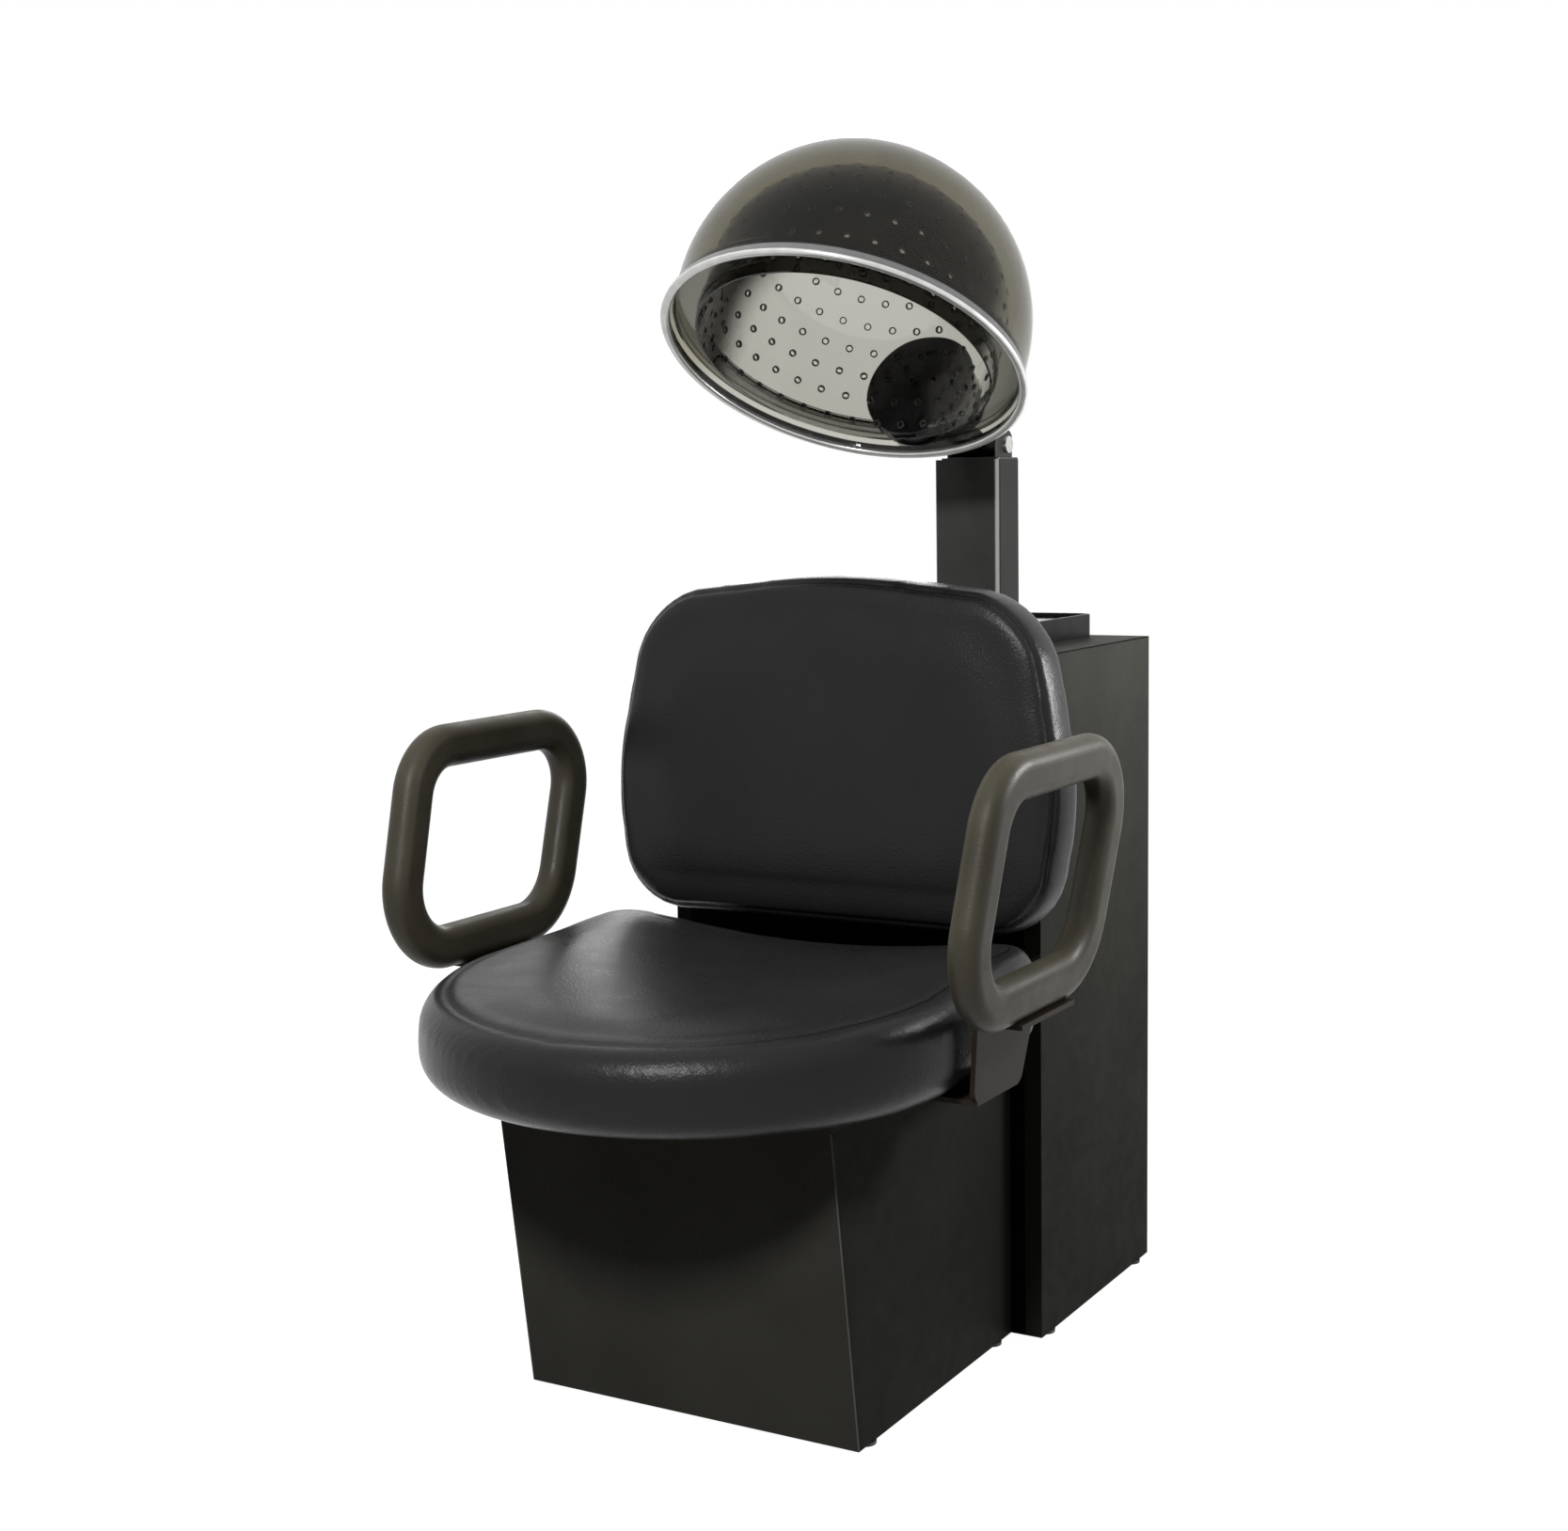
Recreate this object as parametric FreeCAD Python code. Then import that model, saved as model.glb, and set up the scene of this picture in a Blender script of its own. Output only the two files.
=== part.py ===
import FreeCAD, Part
import math
import os

# Salon dryer chair in millimetres: a laminated front box carries the seat and the loop arms, a taller
# rear box carries the backrest and the tray, and a steel post behind it carries the hood dryer.
# X runs across the chair, Y from the sitter's knees to the rear, Z up. All pieces are drawn with
# Y = 0 at the front box's lower front edge and are moved to the middle of the footprint when saved.

# Laminated boxes
panel = 19.0
front_box_width = 380.0
front_box_depth = 346.0
seat_deck_height = 345.0
front_lean = 8.0
rear_box_width = 452.0
rear_box_depth = 309.0
rear_box_height = 736.0
top_edge_chamfer = 1.5
cleat_size = 22.0
cleat_front_gap = 30.0
cleat_rear_gap = 20.0
glide_height = 4.0
glide_radius = 11.0
glide_inset = 30.0
glide_round = 1.0
joining_bolt_radius = 4.0
joining_bolt_grip = 12.0
joining_bolt_head_radius = 8.0
joining_bolt_head = 4.0
joining_bolt_inset = 15.0
joining_bolt_low = 80.0
joining_bolt_high = 240.0
block_low = 40.0
block_top_gap = 20.0
block_overhang = 8.0

# Seat
seat_width = 556.0
seat_nose_centre = 40.0
seat_rear_half_width = 262.0
seat_rear = 282.0
seat_corner_radius = 45.0
seat_least_corner = 5.0
seat_front_top = 425.0
seat_rear_top = 451.0
seat_dish_bottom = 429.0
seat_dish_radius = 1420.0
seat_top_roll = 26.0
seat_bottom_roll = 36.0
seat_board_thickness = 15.0
seat_board_inset = 34.0
seat_bolt_spread = 260.0
seat_bolt_front = 40.0
seat_bolt_rear = 215.0
soft_clearance = 0.3

# Back cushion, as seen from the front, and its lean
back_low = 446.0
back_low_half_width = 243.0
back_wide_height = 590.0
back_half_width = 267.0
back_shoulder_height = 797.0
back_shoulder_half_width = 240.0
back_top = 823.0
back_low_radius = 78.0
back_side_radius = 320.0
back_shoulder_radius = 88.0
back_crown_radius = 700.0
back_lean = 3.5
back_thickness = 56.0
back_top_gap = 5.0
back_front_roll = 20.0
back_rear_roll = 10.0
back_board_thickness = 12.0
back_board_inset = 45.0
back_cleat_width = 45.0
back_cleat_spread = 260.0
back_cleat_low = 500.0
back_cleat_high = 700.0
back_bolt_inset = 30.0

# Loop arms, given by the corners of the bar's centre line in the side view
arm_low_x = 317.0
arm_splay = 3.0
arm_bar_width = 45.0
arm_bar_thickness = 32.0
arm_edge_radius = 14.5
arm_low_height = 441.0
arm_high_height = 650.0
arm_low_front = -45.0
arm_low_rear = 228.0
arm_high_front = 18.0
arm_high_rear = 302.0
arm_low_front_radius = 62.0
arm_low_rear_radius = 78.0
arm_high_rear_radius = 56.0
arm_high_front_radius = 62.0
arm_bracket_thickness = 5.0
arm_bracket_x = 286.0
arm_bracket_front = 45.0
arm_bracket_rear = 190.0
arm_bracket_foot_rear = 150.0
arm_bracket_reach = 92.0
arm_bolt_spacing = 76.0
arm_bolt_depth = 20.0
arm_bolt_spare = 3.0
arm_seat_depth = 1.5
arm_flange_reach = 48.0
arm_bracket_rake = 10.0
arm_bracket_low_corner = 16.0
arm_bracket_high_corner = 6.0
arm_foot_inset = 8.0
arm_flange_front_inset = 14.0
arm_flange_rear_inset = 10.0
bracket_bolt_inset = 22.0
bracket_bolt_spacing = 60.0

# Screws and bolts
bolt_radius = 3.0
bolt_head_radius = 5.5
bolt_head_height = 4.0
bolt_clearance = 0.3
bolt_tip_gap = 2.0
tee_nut_flange_radius = 9.0
tee_nut_flange = 1.5
tee_nut_barrel_radius = 4.0
small_screw_radius = 2.0
small_screw_head = 3.8
small_screw_head_height = 2.5

# Post behind the rear box
post_top = 941.0
post_length = 521.0
channel_width = 77.0
channel_depth = 58.0
channel_wall = 2.5
channel_corner = 4.0
post_bolt_low_inset = 30.0
post_bolt_high_inset = 60.0
cover_width = 79.5
cover_depth = 8.0
cover_wall = 1.5
cover_corner = 2.5
cover_gap = 3.0
cover_foot_gap = 0.3
cover_block_height = 24.0
cover_block_inset = 20.0
bush_wall = 3.0
bush_length = 40.0
bush_flange = 2.0
bush_flange_inset = 0.5
tube_wall = 2.5
tube_overlap = 210.0
tube_rise = 35.0
tube_mouth_gap = 1.0
running_clearance = 0.05
slide_clearance = 0.3
height_travel = 250.0
lock_height = 880.0
lock_screw_radius = 5.0
lock_plate_size = 34.0
lock_plate_thickness = 8.0
lock_plate_corner = 4.0
lock_knob_radius = 20.0
lock_knob_length = 18.0
lock_knob_round = 2.5
lock_knob_lobes = 5
lock_knob_lobe_radius = 6.8
lock_knob_lobe_offset = 2.4
lock_knob_gap = 3.0
lock_pad_gap = 0.3

# Hood hinge at the top of the sliding tube
hinge_height = 958.0
hinge_pin_radius = 6.0
hinge_barrel_radius = 14.0
hinge_washer_thickness = 1.5
hinge_nut_radius = 10.0
hinge_nut_thickness = 6.0

# Hood, drawn upright about its own axis with its mouth at zero, then tilted back
hood_tilt = 30.6
hood_mouth_y = 345.0
hood_mouth_z = 1046.0
dome_radius = 192.0
dome_skirt = 46.0
dome_wall = 3.0
lip_flare = 5.0
lip_height = 14.0
trim_size = 3.0
trim_wall = 1.8
trim_outer_leg = 9.0
trim_inner_leg = 4.0
trim_clearance = 0.1
bowl_radius = 162.0
bowl_skirt = 72.0
bowl_height = 209.0
bowl_shoulder_radius = 110.0
bowl_wall = 2.5
hole_radius = 3.0
hole_pitch = 29.0
first_hole_row = 18.0
last_hole_row_radius = 22.0
mouth_ring_height = 5.0
mouth_ring_thickness = 2.5
mouth_ring_depth = 9.0
mouth_ring_wall = 2.0
ring_clearance = 0.3
spacer_radius = 19.0
spacer_clearance = 0.3

# Blower behind the bowl
blower_height = 74.0
blower_radius = 66.0
blower_front = 165.5
blower_wall = 2.5
blower_face_round = 3.0
blower_seat_clearance = 0.3
dome_port_radius = 58.0
outlet_count = 8
outlet_width = 22.0
outlet_depth = 5.0
cover_radius = 60.0
cover_rear = 230.0
cover_rear_round = 9.0
intake_groups = 4
intake_slots = 3
intake_slot_width = 4.0
intake_slot_length = 14.0
intake_slot_pitch = 15.0
housing_screw_count = 4
housing_boss_radius = 5.0
housing_boss_circle = 49.0
motor_radius = 22.0
motor_length = 30.0
motor_rear_gap = 6.0
motor_round = 2.0
motor_shaft_radius = 3.0
motor_bracket_thickness = 2.0
motor_bracket_width = 14.0
motor_bracket_overhang = 4.0
motor_foot_radius = 3.0
impeller_radius = 44.0
impeller_depth = 18.0
impeller_plate = 2.0
impeller_hub_radius = 8.0
blade_count = 18
blade_thickness = 1.5
blade_length = 12.0
blade_tip_gap = 0.5
impeller_front_gap = 4.0
heater_radius = 34.0
heater_wire_radius = 3.0
heater_post_width = 6.0
heater_gap = 6.0
heater_post_grip = 2.0
heater_groove_clearance = 0.2
knob_offset = 34.0
knob_radius = 12.0
knob_length = 15.0
knob_flute_count = 12
knob_flute_radius = 1.4
knob_face_gap = 0.5
knob_stem_radius = 3.0
knob_skirt = 3.0
pointer_width = 2.0
pointer_proud = 0.8
pointer_inset = 2.0
switch_size = 18.0
switch_depth = 14.0

# Arm between the hinge and the rear cover
arm_plate_width = 34.0
arm_plate_height = 56.0
arm_plate_thickness = 6.0
arm_plate_corner = 5.0
arm_web_width = 24.0
arm_web_height = 20.0
arm_screw_x = 11.0
arm_screw_z = 20.0

# Tray on the rear box
tray_width = 330.0
tray_front = 420.0
tray_rear = 640.0
tray_height = 26.0
tray_wall = 5.0
tray_floor = 4.0
tray_corner = 14.0
tray_rim_round = 1.5
liner_thickness = 1.5
liner_clearance = 0.3

# Cord outlet in the back panel
gland_radius = 11.0
gland_flange_radius = 15.0
gland_flange = 4.0
gland_bore = 4.5
gland_height = 90.0
gland_x = 120.0

# Places that several pieces share
rear_box_front = front_box_depth
rear_box_rear = rear_box_front + rear_box_depth
post_front = rear_box_rear
post_middle = post_front + channel_depth / 2
post_rear = post_front + channel_depth
post_foot = post_top - post_length
channel_inner_width = channel_width - 2 * channel_wall
channel_inner_depth = channel_depth - 2 * channel_wall
tube_width = channel_inner_width - 2 * bush_wall
tube_depth = channel_inner_depth - 2 * bush_wall
tube_length = height_travel + tube_overlap
tube_foot = post_top + tube_rise - tube_length
seat_top_board = seat_deck_height + seat_board_thickness
lean = math.radians(front_lean)
top_panel_low = rear_box_height - panel
bracket_low = seat_deck_height - arm_bracket_thickness
arm_underside = arm_low_height - arm_bar_width / 2
arm_seat_height = arm_underside + arm_seat_depth
dome_apex = dome_skirt + dome_radius
seat_nose = seat_nose_centre - seat_width / 2
lock_knob_face = post_rear + lock_plate_thickness + lock_knob_gap
overall_rear = lock_knob_face + lock_knob_length
middle_y = (seat_nose + overall_rear) / 2

SAVED = []


def at(x, y, z):
    return FreeCAD.Vector(x, y, z)


ALONG_X = at(1, 0, 0)
ALONG_Y = at(0, 1, 0)
ALONG_Z = at(0, 0, 1)
ORIGIN = at(0, 0, 0)


def save(name, shape):
    moved = shape.copy()
    moved.translate(at(0, -middle_y, 0))
    moved.exportStep("parts/" + name + ".step")
    SAVED.append((name, len(moved.Solids), moved.isValid()))


def slab(x_low, x_high, y_low, y_high, z_low, z_high):
    return Part.makeBox(x_high - x_low, y_high - y_low, z_high - z_low, at(x_low, y_low, z_low))


def rod(radius, length, start, direction=ALONG_Z):
    return Part.makeCylinder(radius, length, start, direction)


def tube(outer, inner, length, start, direction=ALONG_Z):
    return rod(outer, length, start, direction).cut(rod(inner, length, start, direction))


def group(shapes):
    return Part.makeCompound(list(shapes))


def mirrored(shape):
    return shape.mirror(ORIGIN, ALONG_X)


def rounded_wire(points, radii):
    """A closed outline with straight sides and a tangent arc at each corner that has a radius."""
    count = len(points)
    edges = []
    starts = []
    ends = []
    middles = []
    for i in range(count):
        here = points[i]
        back = (points[i - 1] - here).normalize()
        ahead = (points[(i + 1) % count] - here).normalize()
        half = back.getAngle(ahead) / 2
        reach = radii[i] / math.tan(half)
        starts.append(here + back * reach)
        ends.append(here + ahead * reach)
        middles.append(here + (back + ahead).normalize() * (radii[i] / math.sin(half) - radii[i]))
    for i in range(count):
        if radii[i] > 0:
            edges.append(Part.Arc(starts[i], middles[i], ends[i]).toShape())
        following = starts[(i + 1) % count]
        if ends[i].distanceToPoint(following) > 1e-6:
            edges.append(Part.LineSegment(ends[i], following).toShape())
    return Part.Wire(Part.__sortEdges__(edges))


def prism(points, radii, sweep):
    return Part.Face(rounded_wire(points, radii)).extrude(sweep)


def bolt(radius, head_radius, head_height, grip, start, direction):
    """A bolt whose head stands on its start point and whose shank runs along the direction."""
    head = rod(head_radius, head_height, start - direction * head_height, direction)
    return head.fuse(rod(radius, grip, start, direction)).removeSplitter()


# Laminated boxes

def front_panel():
    half = front_box_width / 2
    rise = seat_deck_height - panel - glide_height
    back = panel / math.cos(lean)
    outline = [at(-half, 0, 0), at(half, 0, 0), at(half - panel, back, 0), at(-half + panel, back, 0)]
    sheet = prism(outline, [0, 0, 0, 0], at(0, -math.tan(lean) * rise, rise))
    sheet.translate(at(0, -math.tan(lean) * glide_height, glide_height))
    return sheet


def front_box_side(front):
    half = front_box_width / 2
    top = seat_deck_height - panel
    outline = [at(half - panel, -math.tan(lean) * glide_height, glide_height),
               at(half - panel, front_box_depth, glide_height),
               at(half - panel, front_box_depth, top),
               at(half - panel, -math.tan(lean) * top, top)]
    side = prism(outline, [0, 0, 0, 0], at(panel, 0, 0))
    return side.cut(front)


def seat_deck():
    half = front_box_width / 2
    outline = [at(half, -math.tan(lean) * (seat_deck_height - panel), seat_deck_height - panel),
               at(half, front_box_depth, seat_deck_height - panel),
               at(half, front_box_depth, seat_deck_height),
               at(half, -math.tan(lean) * seat_deck_height, seat_deck_height)]
    deck = prism(outline, [0, 0, 0, 0], at(-2 * half, 0, 0))
    for x, y in seat_bolt_places():
        deck = deck.cut(rod(bolt_radius + bolt_clearance, panel, at(x, y, seat_deck_height - panel)))
    return deck


def seat_bolt_places():
    x = seat_bolt_spread / 2
    return [(sx * x, y) for sx in (-1, 1) for y in (seat_bolt_front, seat_bolt_rear)]


def deck_cleats():
    inner = front_box_width / 2 - panel
    top = seat_deck_height - panel
    right = slab(inner - cleat_size, inner, cleat_front_gap, front_box_depth - cleat_rear_gap,
                 top - cleat_size, top)
    return group([mirrored(right), right])


def rear_box_side():
    half = rear_box_width / 2
    return slab(half - panel, half, rear_box_front, rear_box_rear, glide_height, top_panel_low)


def joining_bolt_places():
    x = front_box_width / 2 - panel - cleat_size - joining_bolt_inset
    return [(sx * x, z) for sx in (-1, 1) for z in (joining_bolt_low, joining_bolt_high)]


def back_bolt_places():
    x = back_cleat_spread / 2
    heights = (back_cleat_low + back_bolt_inset, back_cleat_high - back_bolt_inset)
    return [(sx * x, z) for sx in (-1, 1) for z in heights]


def rear_box_front_panel():
    inner = rear_box_width / 2 - panel
    sheet = slab(-inner, inner, rear_box_front, rear_box_front + panel, glide_height, top_panel_low)
    for x, z in back_bolt_places():
        hole = rod(bolt_radius + bolt_clearance, panel, at(x, rear_box_front, z), ALONG_Y)
        sheet = sheet.cut(hole)
    return sheet


def post_bolt_places():
    x = channel_width / 4
    heights = (post_foot + post_bolt_low_inset, top_panel_low - post_bolt_high_inset)
    return [(sx * x, z) for sx in (-1, 1) for z in heights]


def rear_box_back_panel():
    inner = rear_box_width / 2 - panel
    sheet = slab(-inner, inner, rear_box_rear - panel, rear_box_rear, glide_height, top_panel_low)
    for x, z in post_bolt_places():
        hole = rod(bolt_radius + bolt_clearance, panel, at(x, rear_box_rear - panel, z), ALONG_Y)
        sheet = sheet.cut(hole)
    outlet = rod(gland_radius, panel, at(gland_x, rear_box_rear - panel, gland_height), ALONG_Y)
    return sheet.cut(outlet)


def rear_box_top():
    half = rear_box_width / 2
    sheet = slab(-half, half, rear_box_front, rear_box_rear, top_panel_low, rear_box_height)
    rim = [e for e in sheet.Edges if min(v.Z for v in e.Vertexes) > rear_box_height - 0.1]
    return sheet.makeChamfer(top_edge_chamfer, rim)


def rear_box_cleats():
    inner = rear_box_width / 2 - panel
    low = rear_box_front + panel
    right = slab(inner - cleat_size, inner, low, rear_box_rear - panel,
                 top_panel_low - cleat_size, top_panel_low)
    return group([mirrored(right), right])


def floor_glides():
    feet = []
    front_x = front_box_width / 2 - panel / 2
    rear_x = rear_box_width / 2 - panel / 2
    places = [(front_x, glide_inset), (front_x, front_box_depth - glide_inset),
              (rear_x, rear_box_front + glide_inset), (rear_x, rear_box_rear - glide_inset)]
    for x, y in places:
        for side in (-1, 1):
            foot = rod(glide_radius, glide_height, at(side * x, y, 0))
            rim = [e for e in foot.Edges if e.BoundBox.ZMax < 0.1 and e.Closed]
            feet.append(foot.makeFillet(glide_round, rim))
    return group(feet)


def joining_bolts():
    """Carriage bolts with square nuts that hold the front box's cleats to the rear box."""
    return group(bolt(joining_bolt_radius, joining_bolt_head_radius, joining_bolt_head,
                      joining_bolt_grip + panel, at(x, rear_box_front - joining_bolt_grip, z), ALONG_Y)
                 for x, z in joining_bolt_places())


def joining_blocks():
    """Hardwood blocks in the front box's rear corners, against the rear box."""
    inner = front_box_width / 2 - panel
    high = seat_deck_height - panel - cleat_size - block_top_gap
    right = slab(inner - 2 * cleat_size - block_overhang, inner,
                 rear_box_front - joining_bolt_grip, rear_box_front, block_low, high)
    return group([mirrored(right), right])


# Seat

def seat_outline(inset, height):
    """The seat from above: a half round nose, sides that close in a little, and a straight rear."""
    radius = seat_width / 2 - inset
    nose = seat_nose_centre
    rear = seat_rear - inset
    rear_half = seat_rear_half_width - inset
    corner = max(seat_corner_radius - inset, seat_least_corner)
    left = at(-radius, nose, height)
    right = at(radius, nose, height)
    arc = Part.Arc(left, at(0, nose - radius, height), right).toShape()
    first_arc, second_arc = arc.split((arc.FirstParameter + arc.LastParameter) / 2).Edges
    rear_wire = rounded_wire([right, at(rear_half, rear, height), at(-rear_half, rear, height), left],
                             [0, corner, corner, 0])
    closing = [e for e in rear_wire.Edges if e.BoundBox.YMax > nose + 1e-3]
    return Part.Wire(Part.__sortEdges__([first_arc, second_arc] + closing))


def seat_board():
    outline = Part.Face(seat_outline(seat_board_inset, seat_deck_height))
    board = outline.extrude(at(0, 0, seat_board_thickness))
    for x, y in seat_bolt_places():
        board = board.cut(rod(tee_nut_barrel_radius, seat_board_thickness, at(x, y, seat_deck_height)))
        board = board.cut(rod(tee_nut_flange_radius, tee_nut_flange,
                              at(x, y, seat_top_board - tee_nut_flange)))
    for x, y in bracket_bolt_places():
        board = board.cut(rod(bolt_radius, seat_board_thickness, at(x, y, seat_deck_height)))
    return board


def seat_cushion():
    low = seat_deck_height + soft_clearance
    high = seat_rear_top + 2 * seat_top_roll
    body = Part.Face(seat_outline(0, low)).extrude(at(0, 0, high - low))
    reach = seat_width
    nose = seat_nose_centre - reach
    slope = (seat_rear_top - seat_front_top) / (seat_rear - seat_nose)
    top_at = [seat_front_top + slope * (y - seat_nose) for y in (nose, seat_rear + reach)]
    above = [at(-reach, nose, top_at[0]), at(-reach, seat_rear + reach, top_at[1]),
             at(-reach, seat_rear + reach, high + reach), at(-reach, nose, high + reach)]
    body = body.cut(prism(above, [0, 0, 0, 0], at(2 * reach, 0, 0)))
    lower_rim = [e for e in body.Edges if e.BoundBox.ZMax < low + 0.1]
    body = body.makeFillet(seat_bottom_roll, lower_rim)
    upper_rim = [e for e in body.Edges if e.BoundBox.ZMin > seat_front_top - 1 and not is_upright(e)]
    body = body.makeFillet(seat_top_roll, upper_rim)
    dish = rod(seat_dish_radius, 2 * reach, at(0, nose, seat_dish_bottom + seat_dish_radius), ALONG_Y)
    body = body.cut(dish)
    pocket = Part.Face(seat_outline(seat_board_inset - soft_clearance, low - 1))
    return body.cut(pocket.extrude(at(0, 0, seat_board_thickness + 1)))


def is_upright(edge):
    return edge.BoundBox.ZLength > seat_rear_top - seat_front_top


def seat_bolts():
    low = seat_deck_height - panel
    grip = panel + seat_board_thickness - bolt_tip_gap
    return group(bolt(bolt_radius, bolt_head_radius, bolt_head_height, grip, at(x, y, low), ALONG_Z)
                 for x, y in seat_bolt_places())


def tee_nuts():
    """Flanged nuts let into the top of the seat board."""
    nuts = []
    for x, y in seat_bolt_places():
        barrel = tube(tee_nut_barrel_radius, bolt_radius, seat_board_thickness - tee_nut_flange,
                      at(x, y, seat_deck_height))
        flange = tube(tee_nut_flange_radius, bolt_radius, tee_nut_flange,
                      at(x, y, seat_top_board - tee_nut_flange))
        nuts.append(barrel.fuse(flange).removeSplitter())
    return group(nuts)


# Backrest

def lean_back(shape):
    """Turns a piece of the backrest about the line where the cushion's rear meets the box's top edge."""
    leaned = shape.copy()
    leaned.rotate(at(0, rear_box_front - back_top_gap, rear_box_height), ALONG_X, -back_lean)
    return leaned


def back_outline(inset, y):
    corners = [(-back_low_half_width + inset, back_low + inset),
               (back_low_half_width - inset, back_low + inset),
               (back_half_width - inset, back_wide_height),
               (back_shoulder_half_width - inset, back_shoulder_height - inset), (0, back_top - inset),
               (-back_shoulder_half_width + inset, back_shoulder_height - inset),
               (-back_half_width + inset, back_wide_height)]
    radii = [back_low_radius, back_low_radius, back_side_radius, back_shoulder_radius, back_crown_radius,
             back_shoulder_radius, back_side_radius]
    return rounded_wire([at(x, y, z) for x, z in corners], [radius - inset for radius in radii])


def back_cushion():
    rear = rear_box_front - back_top_gap
    body = Part.Face(back_outline(0, rear - back_thickness)).extrude(at(0, back_thickness, 0))
    front_rim = [e for e in body.Edges if e.BoundBox.YMax < rear - back_thickness + 0.1]
    body = body.makeFillet(back_front_roll, front_rim)
    rear_rim = [e for e in body.Edges if e.BoundBox.YMin > rear - 0.1]
    body = body.makeFillet(back_rear_roll, rear_rim)
    pocket = Part.Face(back_outline(back_board_inset - soft_clearance, rear + 1))
    body = body.cut(pocket.extrude(at(0, -back_board_thickness - 1 - soft_clearance, 0)))
    return lean_back(body)


def back_board():
    rear = rear_box_front - back_top_gap
    board = Part.Face(back_outline(back_board_inset, rear)).extrude(at(0, -back_board_thickness, 0))
    board = lean_back(board)
    for x, z in back_bolt_places():
        start = at(x, rear_box_front - 2 * back_thickness, z)
        board = board.cut(rod(bolt_radius, 2 * back_thickness, start, ALONG_Y))
    return board


def back_cleats():
    """Hardwood wedges that fill the space between the leaning board and the upright box."""
    rear = rear_box_front - back_top_gap
    half = back_cleat_width / 2
    blocks = []
    far = 2 * back_thickness
    keep_out = lean_back(slab(-rear_box_width, rear_box_width, rear - 2 * far, rear, 0, 2 * rear_box_height))
    for side in (-1, 1):
        x = side * back_cleat_spread / 2
        block = slab(x - half, x + half, rear - far, rear_box_front, back_cleat_low, back_cleat_high)
        block = block.cut(keep_out)
        for bx, z in back_bolt_places():
            start = at(bx, rear_box_front - far, z)
            block = block.cut(rod(bolt_radius + bolt_clearance, far, start, ALONG_Y))
        blocks.append(block)
    return group(blocks)


def back_bolts():
    rear = rear_box_front + panel
    bolts = []
    for x, z in back_bolt_places():
        wedge = back_top_gap + (rear_box_height - z) * math.tan(math.radians(back_lean))
        grip = panel + wedge + back_board_thickness - bolt_tip_gap
        bolts.append(bolt(bolt_radius, bolt_head_radius, bolt_head_height, grip, at(x, rear, z),
                          at(0, -1, 0)))
    return group(bolts)


# Arms

def splay(shape):
    tipped = shape.copy()
    tipped.rotate(at(arm_low_x, 0, arm_low_height), ALONG_Y, arm_splay)
    return tipped


def arm_bolt_places():
    middle = (arm_bracket_front + arm_bracket_rear) / 2
    return [middle - arm_bolt_spacing / 2, middle + arm_bolt_spacing / 2]


def right_arm():
    """A urethane loop: one bar that runs round a leaning four sided frame with soft corners."""
    x = arm_low_x - arm_bar_thickness / 2
    corners = [at(x, arm_low_front, arm_low_height), at(x, arm_low_rear, arm_low_height),
               at(x, arm_high_rear, arm_high_height), at(x, arm_high_front, arm_high_height)]
    radii = [arm_low_front_radius, arm_low_rear_radius, arm_high_rear_radius, arm_high_front_radius]
    centre_line = rounded_wire(corners, radii)
    outer = Part.Face(centre_line.makeOffset2D(arm_bar_width / 2))
    inner = Part.Face(centre_line.makeOffset2D(-arm_bar_width / 2))
    ring = outer.extrude(at(arm_bar_thickness, 0, 0)).cut(inner.extrude(at(arm_bar_thickness, 0, 0)))
    rims = [e for e in ring.Edges if e.BoundBox.XLength < 0.1]
    ring = splay(ring.makeFillet(arm_edge_radius, rims))
    flat = slab(0, 2 * arm_low_x, arm_low_front - arm_bar_width, arm_bracket_rear + arm_seat_depth, 0,
                arm_seat_height)
    ring = ring.cut(flat)
    for y in arm_bolt_places():
        ring = ring.cut(rod(bolt_radius, arm_bolt_depth, at(arm_low_x, y, arm_underside)))
    return ring


def bracket_bolt_places():
    x = arm_bracket_x - arm_bracket_reach + bracket_bolt_inset
    middle = (arm_bracket_front + arm_bracket_foot_rear) / 2
    half = bracket_bolt_spacing / 2
    return [(side * x, middle + d) for side in (-1, 1) for d in (-half, half)]


def right_arm_bracket():
    """Bent steel: a foot under the seat board, an upright beside the cushion, a flange under the arm."""
    x = arm_bracket_x
    thick = arm_bracket_thickness
    top = arm_seat_height
    upright = [at(x, arm_bracket_front, bracket_low), at(x, arm_bracket_foot_rear, bracket_low),
               at(x, arm_bracket_rear, top), at(x, arm_bracket_front + arm_bracket_rake, top)]
    low_corner = arm_bracket_low_corner
    high_corner = arm_bracket_high_corner
    body = prism(upright, [low_corner, low_corner, high_corner, high_corner], at(thick, 0, 0))
    foot = slab(x - arm_bracket_reach, x + thick, arm_bracket_front + arm_foot_inset,
                arm_bracket_foot_rear - arm_foot_inset, bracket_low, seat_deck_height)
    flange = slab(x, x + arm_flange_reach, arm_bracket_front + arm_flange_front_inset,
                  arm_bracket_rear - arm_flange_rear_inset, top - thick, top)
    body = body.fuse([foot, flange]).removeSplitter()
    for y in arm_bolt_places():
        body = body.cut(rod(bolt_radius + bolt_clearance, thick, at(arm_low_x, y, top - thick)))
    for bx, y in bracket_bolt_places():
        body = body.cut(rod(bolt_radius + bolt_clearance, thick, at(bx, y, bracket_low)))
    return body


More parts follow.
